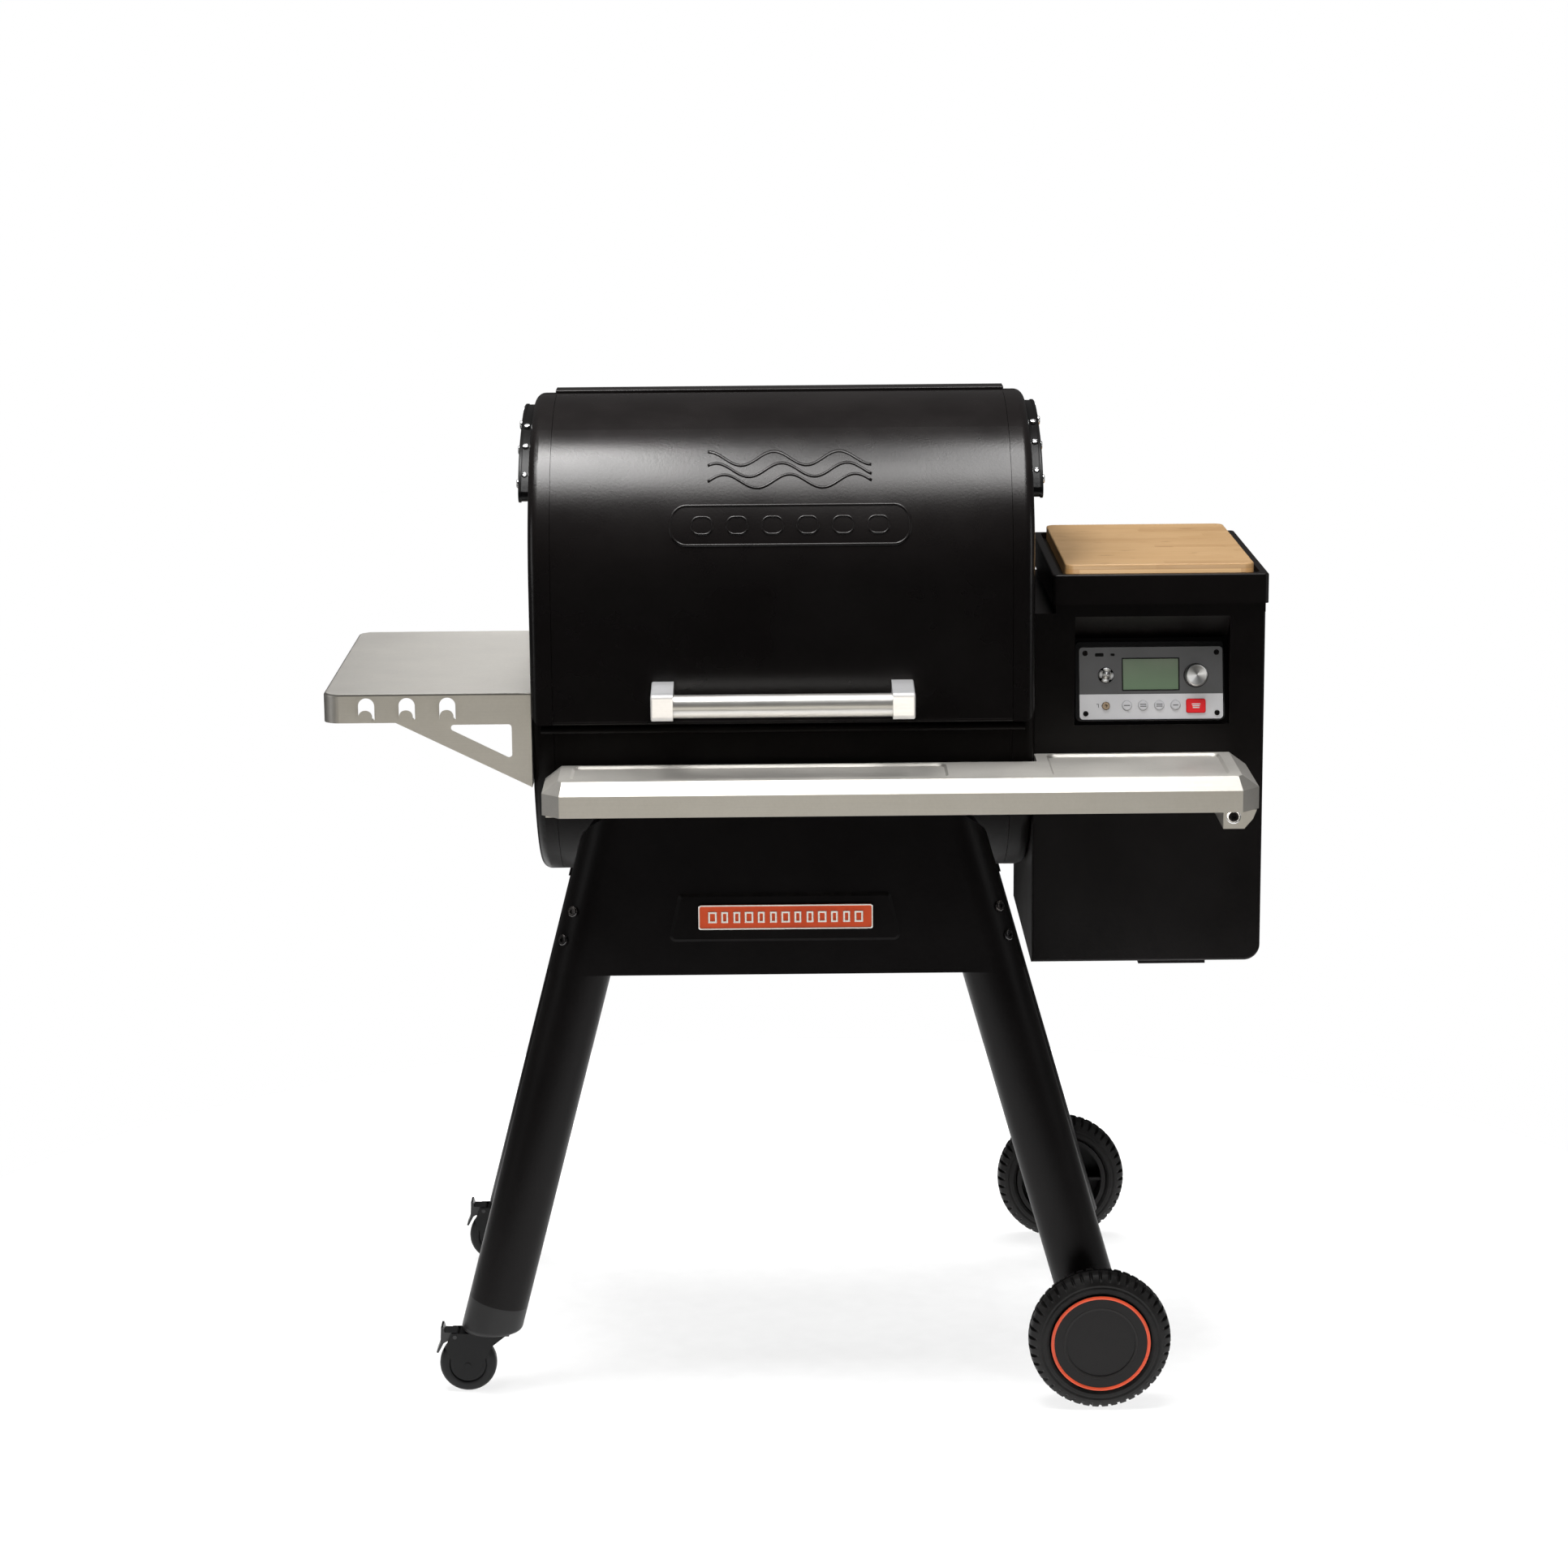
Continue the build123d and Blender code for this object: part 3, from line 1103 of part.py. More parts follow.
half_wide = wheel_width / 2
for place, facing in (("front", -1), ("rear", 1)):
    wheel_plane = Plane(origin=(wheel_x, facing * wheel_y, wheel_radius),
                        x_dir=(1, 0, 0), z_dir=(0, facing, 0))
    spin = Axis(wheel_plane.origin, wheel_plane.z_dir)
    with BuildPart() as tyre:
        with BuildSketch(wheel_plane):
            Circle(wheel_radius)
            Circle(hub_radius + 0.05, mode=Mode.SUBTRACT)
        extrude(amount=half_wide, both=True)
        shoulders = tyre.edges().filter_by(GeomType.CIRCLE).sort_by(SortBy.RADIUS)[-2:]
        fillet(shoulders, 12)
    tyre.part.label = f"tyre_{place}"
    export_step(tyre.part, f"parts/tyre_{place}.step")

    with BuildPart() as hub:
        with BuildSketch(wheel_plane.offset(-half_wide)):
            Circle(hub_radius)
            Circle(hub_radius - 6, mode=Mode.SUBTRACT)
        extrude(amount=wheel_width)
        with BuildSketch(wheel_plane.offset(half_wide - 8)):
            Circle(hub_radius - 4)
        extrude(amount=7)
        with BuildSketch(wheel_plane.offset(half_wide - 1)):
            Circle(hub_radius)
            Circle(43, mode=Mode.SUBTRACT)
        extrude(amount=1.4)
        with BuildSketch(wheel_plane.offset(-half_wide)):
            Circle(18)
        extrude(amount=wheel_width - 4)
        with BuildSketch(wheel_plane.offset(-half_wide + 6)):
            with PolarLocations(37, 6):
                Rectangle(42, 4)
        extrude(amount=wheel_width - 10)
        with BuildSketch(wheel_plane.offset(-half_wide)):
            Circle(axle_radius + running_fit)
        extrude(amount=half_wide + 13.5, mode=Mode.SUBTRACT)
    hub.part.label = f"hub_{place}"
    export_step(hub.part, f"parts/hub_{place}.step")

# ---------------------------------------------------------------- casters

with BuildPart() as caster_sleeves:
    with BuildSketch(leg_plane(-1, -leg_y, sleeve_seam)):
        Circle(leg_radius)
    extrude(amount=-90)
    with BuildSketch(leg_plane(-1, -leg_y, sleeve_seam)):
        Circle(leg_radius - leg_wall - 0.2)
    extrude(amount=30)
    with Locations((barrel_x - 380, -leg_y, sleeve_bottom)):
        Box(200, 200, 100, align=(Align.CENTER, Align.CENTER, Align.MAX), mode=Mode.SUBTRACT)
    fillet(caster_sleeves.faces().filter_by(Axis.Z).sort_by(Axis.Z)[0].edges(), 6)
    with Locations((caster_stem_x, -leg_y, sleeve_bottom)):
        Cylinder(5.5 + running_fit, 30, align=(Align.CENTER, Align.CENTER, Align.MIN),
                 mode=Mode.SUBTRACT)
    mirror(about=Plane.XZ)
caster_sleeves.part.label = "caster_sleeves"
export_step(caster_sleeves.part, "parts/caster_sleeves.step")

fork_top = 78.5
cheek_gap = caster_width / 2 + 1
cheek_thick = 3.0
caster_x = caster_stem_x - caster_trail
brake_x = caster_x - 15.5
brake_z = 74.0
for place, y in (("front", -leg_y), ("rear", leg_y)):
    with BuildPart() as caster_fork:
        for cheek_y in (y - cheek_gap - cheek_thick, y + cheek_gap):
            with BuildSketch(Plane.XZ.offset(-cheek_y)) as cheek:
                with BuildLine():
                    Polyline((caster_x - 18, caster_radius), (caster_x - 28, 60),
                             (caster_x - 20, fork_top), (caster_x + 53, fork_top),
                             (caster_x + 32, 62), (caster_x + 18, caster_radius))
                    ThreePointArc((caster_x + 18, caster_radius), (caster_x, caster_radius - 18),
                                  (caster_x - 18, caster_radius))
                make_face()
            extrude(amount=-cheek_thick)
        with Locations(((caster_x - 10 + caster_x + 53) / 2, y, fork_top - 2)):
            Box(63, 2 * (cheek_gap + cheek_thick), 4)
        with Locations((caster_stem_x, y, fork_top - 1)):
            Cylinder(5.5, 29, align=(Align.CENTER, Align.CENTER, Align.MIN))
        with Locations((caster_x, y, caster_radius)):
            Cylinder(4, 2 * (cheek_gap + cheek_thick) + 2, rotation=(90, 0, 0))
        with Locations((brake_x, y, brake_z)):
            Cylinder(2.5 + running_fit, 60, rotation=(90, 0, 0), mode=Mode.SUBTRACT)
    caster_fork.part.label = f"caster_fork_{place}"
    export_step(caster_fork.part, f"parts/caster_fork_{place}.step")

    with BuildPart() as caster_wheel:
        with Locations((caster_x, y, caster_radius)):
            Cylinder(caster_radius, caster_width, rotation=(90, 0, 0))
        fillet(caster_wheel.edges().filter_by(GeomType.CIRCLE), 4)
        with Locations((caster_x, y, caster_radius)):
            Cylinder(4 + running_fit, caster_width + 4, rotation=(90, 0, 0), mode=Mode.SUBTRACT)
    caster_wheel.part.label = f"caster_wheel_{place}"
    export_step(caster_wheel.part, f"parts/caster_wheel_{place}.step")

    with BuildPart() as caster_brake:
        with BuildSketch(Plane.XZ.offset(-y)):
            with BuildLine():
                Polyline((brake_x + 2, brake_z + 4.8), (brake_x - 13, brake_z + 5.3),
                         (brake_x - 15, brake_z + 12), (brake_x - 17.5, brake_z + 12),
                         (brake_x - 18.5, brake_z - 8), (brake_x - 24, brake_z - 21),
                         (brake_x - 21.5, brake_z - 22), (brake_x - 14.5, brake_z - 9),
                         (brake_x - 4, brake_z - 3), close=True)
            make_face()
            with Locations((brake_x, brake_z)):
                Circle(4.5)
        extrude(amount=12, both=True)
        with Locations((brake_x, y, brake_z)):
            Cylinder(2.5, 2 * (cheek_gap + cheek_thick) + 1, rotation=(90, 0, 0))
    caster_brake.part.label = f"caster_brake_{place}"
    export_step(caster_brake.part, f"parts/caster_brake_{place}.step")
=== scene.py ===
"""Looks of the pellet smoker grill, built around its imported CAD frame."""
import json
from math import cos, pi, radians, sin, sqrt

import bmesh
import bpy
from mathutils import Matrix, Vector


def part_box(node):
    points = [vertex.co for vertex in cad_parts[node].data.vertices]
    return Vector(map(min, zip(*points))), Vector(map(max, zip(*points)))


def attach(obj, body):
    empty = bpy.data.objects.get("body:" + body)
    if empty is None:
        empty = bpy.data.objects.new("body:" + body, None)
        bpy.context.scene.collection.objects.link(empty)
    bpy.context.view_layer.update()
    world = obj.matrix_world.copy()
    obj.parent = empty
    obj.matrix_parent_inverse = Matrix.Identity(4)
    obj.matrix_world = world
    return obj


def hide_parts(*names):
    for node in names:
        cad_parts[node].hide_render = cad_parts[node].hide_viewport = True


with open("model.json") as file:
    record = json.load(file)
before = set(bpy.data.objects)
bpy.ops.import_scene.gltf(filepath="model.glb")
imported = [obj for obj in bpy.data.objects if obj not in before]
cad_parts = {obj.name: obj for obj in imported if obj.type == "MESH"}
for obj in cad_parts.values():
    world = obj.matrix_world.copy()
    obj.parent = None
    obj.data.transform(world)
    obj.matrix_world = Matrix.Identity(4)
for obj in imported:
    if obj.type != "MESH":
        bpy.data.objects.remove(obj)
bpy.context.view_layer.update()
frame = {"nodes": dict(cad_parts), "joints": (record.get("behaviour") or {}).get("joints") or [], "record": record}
nodes = frame["nodes"]
joints = {joint["name"]: joint for joint in frame["joints"]}


# ------------------------------------------------------------------ materials

class Paint:
    """A Principled material, with short calls that add shader nodes to it."""

    def __init__(self, name, color, roughness, metallic=0.0, **more):
        self.material = bpy.data.materials.new(name)
        self.material.use_nodes = True
        self.tree = self.material.node_tree
        self.shader = self.tree.nodes["Principled BSDF"]
        self.set("Base Color", (*color, 1.0))
        self.set("Roughness", roughness)
        self.set("Metallic", metallic)
        for key, value in more.items():
            self.set(key.replace("_", " "), value)

    def set(self, name, value):
        self.shader.inputs[name].default_value = value

    def drive(self, name, socket):
        self.tree.links.new(socket, self.shader.inputs[name])

    def add(self, kind, wires=(), **values):
        """Adds a node; wires are (input, socket) pairs, values are properties or input values."""
        node = self.tree.nodes.new("ShaderNode" + kind)
        for key, value in values.items():
            if hasattr(node, key):
                setattr(node, key, value)
        for key, value in values.items():
            label = key.replace("_", " ")
            if not hasattr(node, key):
                node.inputs[label].default_value = value
        for target, socket in wires:
            self.tree.links.new(socket, node.inputs[target])
        return node

    def place(self, scale=(1, 1, 1), turn=(0, 0, 0), shift=(0, 0, 0)):
        """Object coordinates in metres, turned and stretched."""
        source = self.add("TexCoord")
        mapping = self.add("Mapping", [("Vector", source.outputs["Object"])])
        mapping.inputs["Scale"].default_value = scale
        mapping.inputs["Rotation"].default_value = turn
        mapping.inputs["Location"].default_value = shift
        return mapping.outputs["Vector"]

    def noise(self, where, scale, detail=3.0, roughness=0.5, distortion=0.0):
        node = self.add("TexNoise", [("Vector", where)])
        for key, value in (("Scale", scale), ("Detail", detail), ("Roughness", roughness),
                           ("Distortion", distortion)):
            node.inputs[key].default_value = value
        return node.outputs["Fac"]

    def ramp(self, fac, *stops):
        """Colour ramp; each stop is (place, grey) or (place, (r, g, b))."""
        node = self.add("ValToRGB", [("Fac", fac)])
        points = node.color_ramp.elements
        while len(points) < len(stops):
            points.new(0.5)
        for point, (where, tone) in zip(points, stops):
            point.position = where
            rgb = tone if isinstance(tone, tuple) else (tone, tone, tone)
            point.color = (*rgb, 1.0)
        return node.outputs["Color"]

    def span(self, socket, low, high, out_low, out_high):
        node = self.add("MapRange", [("Value", socket)])
        for key, value in (("From Min", low), ("From Max", high), ("To Min", out_low),
                           ("To Max", out_high)):
            node.inputs[key].default_value = value
        return node.outputs["Result"]

    def math(self, kind, a, b=None):
        node = self.add("Math")
        node.operation = kind
        for slot, value in ((0, a), (1, b)):
            if value is None:
                continue
            if isinstance(value, (int, float)):
                node.inputs[slot].default_value = value
            else:
                self.tree.links.new(value, node.inputs[slot])
        return node.outputs[0]

    def mix(self, fac, a, b, blend="MIX"):
        node = self.add("Mix")
        node.data_type = "RGBA"
        node.blend_type = blend
        for key, value in ((0, fac), (6, a), (7, b)):
            if isinstance(value, (int, float)):
                node.inputs[key].default_value = value
            elif isinstance(value, tuple):
                node.inputs[key].default_value = (*value, 1.0)
            else:
                self.tree.links.new(value, node.inputs[key])
        return node.outputs[2]

    def bump(self, height, distance, strength=1.0, under=None):
        node = self.add("Bump", [("Height", height)])
        node.inputs["Distance"].default_value = distance
        node.inputs["Strength"].default_value = strength
        if under is not None:
            self.tree.links.new(under, node.inputs["Normal"])
        self.drive("Normal", node.outputs["Normal"])
        return node.outputs["Normal"]


def powder_coat(name, color, roughness, grain=0.00005, level=0.5):
    """Satin powder coat: fine orange peel, a speckle of coarser grains, faint dust."""
    paint = Paint(name, color, roughness)
    paint.set("Specular IOR Level", level)
    where = paint.place()
    fine = paint.noise(where, 900.0, 2.0, 0.6)
    coarse = paint.noise(where, 300.0, 2.0, 0.5)
    dust = paint.noise(where, 7.0, 4.0, 0.6)
    first = paint.bump(fine, grain)
    paint.bump(coarse, grain * 2.2, 1.0, first)
    rough = paint.span(dust, 0.3, 0.7, roughness - 0.03, roughness + 0.04)
    paint.drive("Roughness", rough)
    lift = tuple(min(1.0, channel * 1.35 + 0.0012) for channel in color)
    paint.drive("Base Color", paint.mix(paint.span(dust, 0.35, 0.75, 0.0, 1.0), color, lift))
    return paint.material


def brushed_metal(name, color, roughness, along, strength=1.0, cloud=0.06):
    """Brushed sheet: long fine scratches along one axis and a cloudy sheen."""
    paint = Paint(name, color, roughness, 0.9)
    stretch = [1.0 if axis == along else 150.0 for axis in "xyz"]
    where = paint.place(tuple(stretch))
    line = paint.noise(where, 9.0, 5.0, 0.65)
    deep = paint.noise(where, 2.2, 3.0, 0.6)
    haze = paint.noise(paint.place(), 9.0, 5.0, 0.62)
    speck = paint.noise(paint.place(), 260.0, 3.0, 0.7)
    rough = paint.span(line, 0.25, 0.75, roughness - 0.07, roughness + 0.09)
    rough = paint.math("ADD", rough, paint.span(haze, 0.3, 0.7, -0.03, 0.05))
    paint.drive("Roughness", rough)
    tone = paint.math("ADD", paint.span(line, 0.2, 0.8, 1.0 - cloud, 1.0 + cloud),
                      paint.span(haze, 0.3, 0.7, -cloud, cloud))
    tone = paint.math("ADD", tone, paint.span(speck, 0.3, 0.7, -0.02, 0.02))
    scaled = paint.add("VectorMath", operation="SCALE")
    scaled.inputs[0].default_value = color
    paint.tree.links.new(tone, scaled.inputs["Scale"])
    paint.drive("Base Color", scaled.outputs[0])
    first = paint.bump(line, 0.00006 * strength)
    paint.bump(deep, 0.00008 * strength, 1.0, first)
    return paint.material


def moulded_plastic(name, color, roughness, grain=0.00004, scale=700.0, level=0.5):
    paint = Paint(name, color, roughness)
    paint.set("Specular IOR Level", level)
    where = paint.place()
    texture = paint.noise(where, scale, 3.0, 0.6)
    patch = paint.noise(where, 18.0, 4.0, 0.55)
    paint.bump(texture, grain)
    paint.drive("Roughness", paint.span(patch, 0.3, 0.7, roughness - 0.05, roughness + 0.06))
    lift = tuple(min(1.0, channel * 1.25 + 0.002) for channel in color)
    paint.drive("Base Color", paint.mix(paint.span(patch, 0.35, 0.7, 0.0, 1.0), color, lift))
    return paint.material


def bamboo(name):
    """Laminated strips 19 mm wide running left to right, with nodes, grain and end blocks."""
    low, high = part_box("cutting_board")
    paint = Paint(name, (0.6, 0.4, 0.2), 0.5)
    source = paint.add("TexCoord")
    axes = paint.add("SeparateXYZ", [("Vector", source.outputs["Object"])])
    strip = paint.math("FLOOR", paint.math("DIVIDE", axes.outputs["Y"], 0.0195))
    swing = paint.math("SINE", paint.math("MULTIPLY", strip, 7.13))
    joint_shift = paint.math("MULTIPLY", swing, 0.4)
    along = paint.math("ADD", paint.math("DIVIDE", axes.outputs["X"], 0.19), joint_shift)
    piece = paint.math("FLOOR", along)
    key = paint.add("CombineXYZ", [("X", strip), ("Y", piece)])
    tone = paint.add("TexWhiteNoise", [("Vector", key.outputs[0])], noise_dimensions="3D")
    grain = paint.noise(paint.place((9.0, 420.0, 420.0)), 1.0, 6.0, 0.6, 0.4)
    fibre = paint.noise(paint.place((34.0, 1700.0, 1700.0)), 1.0, 3.0, 0.6)
    blotch = paint.noise(paint.place(), 13.0, 4.0, 0.6)
    base = paint.ramp(tone.outputs["Value"], (0.0, (0.44, 0.262, 0.118)), (0.45, (0.50, 0.312, 0.146)),
                      (0.8, (0.53, 0.338, 0.165)), (1.0, (0.47, 0.286, 0.128)))
    shade = paint.span(grain, 0.3, 0.72, 0.0, 0.42)
    base = paint.mix(shade, base, (0.39, 0.228, 0.096))
    base = paint.mix(paint.span(fibre, 0.42, 0.68, 0.0, 0.22), base, (0.36, 0.205, 0.085))
    base = paint.mix(paint.span(blotch, 0.35, 0.7, 0.0, 0.35), base, (0.55, 0.352, 0.178))
    # growth nodes: short darker dashes across a strip
    dash = paint.noise(paint.place((26.0, 51.0, 51.0), (0, 0, 0), (0.37, 0.11, 0)), 1.0, 1.0)
    base = paint.mix(paint.span(dash, 0.66, 0.73, 0.0, 0.5), base, (0.30, 0.165, 0.066))
    # glue line between strips
    edge = paint.math("FRACT", paint.math("DIVIDE", axes.outputs["Y"], 0.0195))
    seam = paint.math("LESS_THAN", edge, 0.03)
    base = paint.mix(paint.math("MULTIPLY", seam, 0.3), base, (0.32, 0.18, 0.076))
    # the edges show a lighter core under a thin face layer, and darker blocks at the corners
    face = paint.math("LESS_THAN", axes.outputs["Z"], high.z - 0.0062)
    base = paint.mix(paint.math("MULTIPLY", face, 0.55), base, (0.8, 0.53, 0.26))
    for side in (low.x + 0.017, high.x - 0.017):
        test = "LESS_THAN" if side < (low.x + high.x) / 2 else "GREATER_THAN"
        block = paint.math("MULTIPLY", paint.math(test, axes.outputs["X"], side), face)
        base = paint.mix(paint.math("MULTIPLY", block, 0.8), base, (0.5, 0.28, 0.11))
    line = paint.math("COMPARE", axes.outputs["Z"], high.z - 0.0062)
    line.node.inputs[2].default_value = 0.0005
    base = paint.mix(paint.math("MULTIPLY", line, 0.5), base, (0.36, 0.19, 0.07))
    paint.drive("Base Color", base)
    paint.drive("Roughness", paint.span(grain, 0.3, 0.7, 0.42, 0.56))
    first = paint.bump(grain, 0.00012, 0.6)
    paint.bump(fibre, 0.00005, 0.6, first)
    return paint.material


def spun_metal_painted_glints(name, color, roughness, glint_lobes=2, glint_phase=0.6, turn=0.0):
    """Spun disc: bright and dark sectors painted into its colour as its spun grain's highlights, with fine turning
    rings.
    """
    paint = Paint(name, color, roughness, 1.0)
    paint.set("Anisotropic", 0.85)
    tangent = paint.add("Tangent", direction_type="RADIAL", axis="Z")
    paint.drive("Tangent", tangent.outputs[0])
    paint.set("Anisotropic Rotation", turn)
    source = paint.add("TexCoord")
    axes = paint.add("SeparateXYZ", [("Vector", source.outputs["Object"])])
    radius = paint.math("SQRT", paint.math("ADD", paint.math("POWER", axes.outputs["X"], 2.0),
                                           paint.math("POWER", axes.outputs["Y"], 2.0)))
    rings = paint.math("SINE", paint.math("MULTIPLY", radius, 9000.0))
    paint.bump(rings, 0.000012)
    # painted highlight: colour swings bright and dark round the axis, a glint pattern fixed on the disc
    around = paint.math("ARCTAN2", axes.outputs["Y"], axes.outputs["X"])
    swing = paint.math("SINE", paint.math("ADD", paint.math("MULTIPLY", around, glint_lobes), glint_phase))
    paint.drive("Base Color", paint.ramp(
        paint.span(swing, -1.0, 1.0, 0.0, 1.0), (0.0, color[0] * 0.34), (0.38, color[0] * 0.72),
        (0.7, color[0]), (0.92, min(1.0, color[0] * 1.5)), (1.0, min(1.0, color[0] * 1.5))))
    return paint.material


def rubber(name, color, roughness):
    paint = Paint(name, color, roughness)
    paint.set("Specular IOR Level", 0.25)
    where = paint.place()
    fine = paint.noise(where, 480.0, 4.0, 0.65)
    scuff = paint.noise(where, 36.0, 5.0, 0.6)
    paint.bump(fine, 0.00012)
    paint.drive("Roughness", paint.span(scuff, 0.3, 0.7, roughness - 0.1, roughness + 0.1))
    grey = tuple(channel * 1.9 + 0.004 for channel in color)
    paint.drive("Base Color", paint.mix(paint.span(scuff, 0.42, 0.75, 0.0, 1.0), color, grey))
    return paint.material


def cast_metal(name, color, roughness, metallic=0.0):
    paint = Paint(name, color, roughness, metallic)
    where = paint.place()
    pits = paint.noise(where, 420.0, 5.0, 0.7)
    stain = paint.noise(where, 21.0, 5.0, 0.6)
    paint.bump(pits, 0.00018)
    paint.drive("Roughness", paint.span(stain, 0.3, 0.7, roughness - 0.1, roughness + 0.12))
    warm = (color[0] * 1.5 + 0.01, color[1] * 1.3 + 0.005, color[2] * 1.15 + 0.002)
    paint.drive("Base Color", paint.mix(paint.span(stain, 0.35, 0.75, 0.0, 1.0), color, warm))
    return paint.material


knob_spot = Vector(joints["knob_turn"]["pos_m"])
panel_out = Vector(joints["knob_turn"]["axis"]).normalized()
panel_up = panel_out.cross(Vector((1, 0, 0))).normalized()
panel_mid = knob_spot - Vector((0.058, 0, 0)) - panel_up * 0.007


def panel_point(u, v, out=0.0):
    """Point on the control panel; u and v in metres from its middle."""
    return panel_mid + Vector((u, 0, 0)) + panel_up * v + panel_out * out


def printed_faceplate(name, split=-0.0156):
    """Dark film above, pale band below the split, fine satin texture."""
    paint = Paint(name, (0.08, 0.08, 0.085), 0.42)
    source = paint.add("TexCoord")
    offset = paint.add("VectorMath", [("Vector", source.outputs["Object"])], operation="SUBTRACT")
    offset.inputs[1].default_value = panel_mid
    dot = paint.add("VectorMath", operation="DOT_PRODUCT")
    paint.tree.links.new(offset.outputs[0], dot.inputs[0])
    dot.inputs[1].default_value = panel_up
    height = dot.outputs["Value"]
    band = paint.math("LESS_THAN", height, split)
    where = paint.place()
    soft = paint.noise(where, 25.0, 3.0, 0.5)
    dark = paint.mix(paint.span(soft, 0.3, 0.7, 0.0, 1.0),
                     (0.05, 0.05, 0.052), (0.066, 0.066, 0.069))
    pale = paint.mix(paint.span(soft, 0.3, 0.7, 0.0, 1.0), (0.7, 0.7, 0.73), (0.78, 0.78, 0.81))
    paint.drive("Base Color", paint.mix(band, dark, pale))
    paint.bump(paint.noise(where, 1500.0, 2.0), 0.00001)
    return paint.material


def display_face(name):
    """Unlit liquid crystal: grey green, a faint grid of cells, and painted shade that darkens its top."""
    low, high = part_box("display_glass")
    paint = Paint(name, (0.13, 0.2, 0.14), 0.35)
    paint.set("Specular IOR Level", 0.2)
    source = paint.add("TexCoord")
    axes = paint.add("SeparateXYZ", [("Vector", source.outputs["Object"])])
    cell_x = paint.math("FRACT", paint.math("MULTIPLY", axes.outputs["X"], 1800.0))
    cell_z = paint.math("FRACT", paint.math("MULTIPLY", axes.outputs["Z"], 1800.0))
    grid = paint.math("MAXIMUM", paint.math("LESS_THAN", cell_x, 0.16),
                      paint.math("LESS_THAN", cell_z, 0.16))
    # painted shade: colour darker towards the top of the display, as in the recess under the bezel
    painted_shade_fade = paint.span(axes.outputs["Z"], low.z, high.z, 0.0, 1.0)
    cloud = paint.noise(paint.place(), 40.0, 3.0)
    base = paint.mix(painted_shade_fade, (0.165, 0.262, 0.152), (0.19, 0.24, 0.165))
    base = paint.mix(paint.span(cloud, 0.3, 0.7, 0.0, 0.4), base, (0.14, 0.225, 0.13))
    lines = paint.math("MULTIPLY", grid, 0.07)
    paint.drive("Base Color", paint.mix(lines, base, (0.05, 0.08, 0.06)))
    return paint.material


coat = {
    "stand_black": powder_coat("Stand_black", (0.0042, 0.0032, 0.0032), 0.40, 0.00005, 0.16),
    "barrel_black": powder_coat("Barrel_black", (0.0054, 0.0044, 0.0043), 0.27, 0.00004, 0.30),
    "hopper_black": powder_coat("Hopper_black", (0.0072, 0.0054, 0.0052), 0.38, 0.00005, 0.32),
    "hinge_black": powder_coat("Hinge_black", (0.005, 0.0046, 0.0046), 0.36, 0.00005, 0.3),
    "screw_black": cast_metal("Screw_black", (0.06, 0.06, 0.062), 0.2, 0.8),
    "bright_screw": brushed_metal("Bright_screw", (0.72, 0.72, 0.73), 0.2, "x", 0.5),
    "handle_steel": brushed_metal("Handle_steel", (0.80, 0.78, 0.75), 0.36, "x", 1.0),
    "shelf_steel": brushed_metal("Shelf_steel", (0.66, 0.635, 0.59), 0.46, "x", 1.0),
    "badge_enamel": moulded_plastic("Badge_enamel", (0.86, 0.10, 0.03), 0.45, 0.00002, 500.0, 0.2),
    "grate_iron": cast_metal("Grate_iron", (0.012, 0.012, 0.013), 0.4),
    "inner_steel": brushed_metal("Inner_steel", (0.4, 0.39, 0.38), 0.42, "x", 0.6, 0.1),
    "igniter_steel": brushed_metal("Igniter_steel", (0.45, 0.43, 0.4), 0.3, "x", 0.6),
    "motor_grey": cast_metal("Motor_grey", (0.06, 0.06, 0.065), 0.45),
    "auger_iron": cast_metal("Auger_iron", (0.2, 0.19, 0.18), 0.5, 0.8),
    "fan_metal": brushed_metal("Fan_metal", (0.6, 0.6, 0.61), 0.35, "z", 0.5),
    "bezel_plastic": powder_coat("Bezel_plastic", (0.013, 0.013, 0.014), 0.42, 0.0002, 0.6),
    "faceplate_print": printed_faceplate("Faceplate_print"),
    "display_lcd": display_face("Display_lcd"),
    "jack_metal": brushed_metal("Jack_metal", (0.16, 0.12, 0.08), 0.34, "y", 0.4),
    # painted highlight: two bright sectors in the knob's colour
    "knob_chrome": spun_metal_painted_glints("Knob_chrome", (0.72, 0.72, 0.73), 0.34),
    "key_plastic": moulded_plastic("Key_plastic", (0.62, 0.62, 0.65), 0.38, 0.00002),
    "ignite_red": moulded_plastic("Ignite_red", (0.98, 0.02, 0.028), 0.45, 0.00002, 700.0, 0.15),
    "board_bamboo": bamboo("Board_bamboo"),
    "tyre_rubber": rubber("Tyre_rubber", (0.0105, 0.0098, 0.0095), 0.52),
    "hub_plastic": moulded_plastic(
        "Hub_plastic", (0.009, 0.0078, 0.0076), 0.40, 0.00006, 420.0, 0.25),
    "sleeve_grey": moulded_plastic(
        "Sleeve_grey", (0.0125, 0.012, 0.012), 0.44, 0.00008, 500.0, 0.35),
    "axle_steel": brushed_metal("Axle_steel", (0.55, 0.55, 0.56), 0.3, "y", 0.6),
    "fork_plastic": moulded_plastic(
        "Fork_plastic", (0.008, 0.008, 0.0082), 0.4, 0.00006, 700.0, 0.2),
    "caster_tread": rubber("Caster_tread", (0.009, 0.009, 0.0093), 0.45),
    "brake_grey": moulded_plastic("Brake_grey", (0.02, 0.02, 0.021), 0.35, 0.00004),
}
print_grey = moulded_plastic("Print_grey", (0.09, 0.09, 0.095), 0.5, 0.00001)
print_pale = moulded_plastic("Print_pale", (0.85, 0.83, 0.83), 0.45, 0.00001)
ring_orange = moulded_plastic("Ring_orange", (0.74, 0.075, 0.018), 0.4, 0.00002)
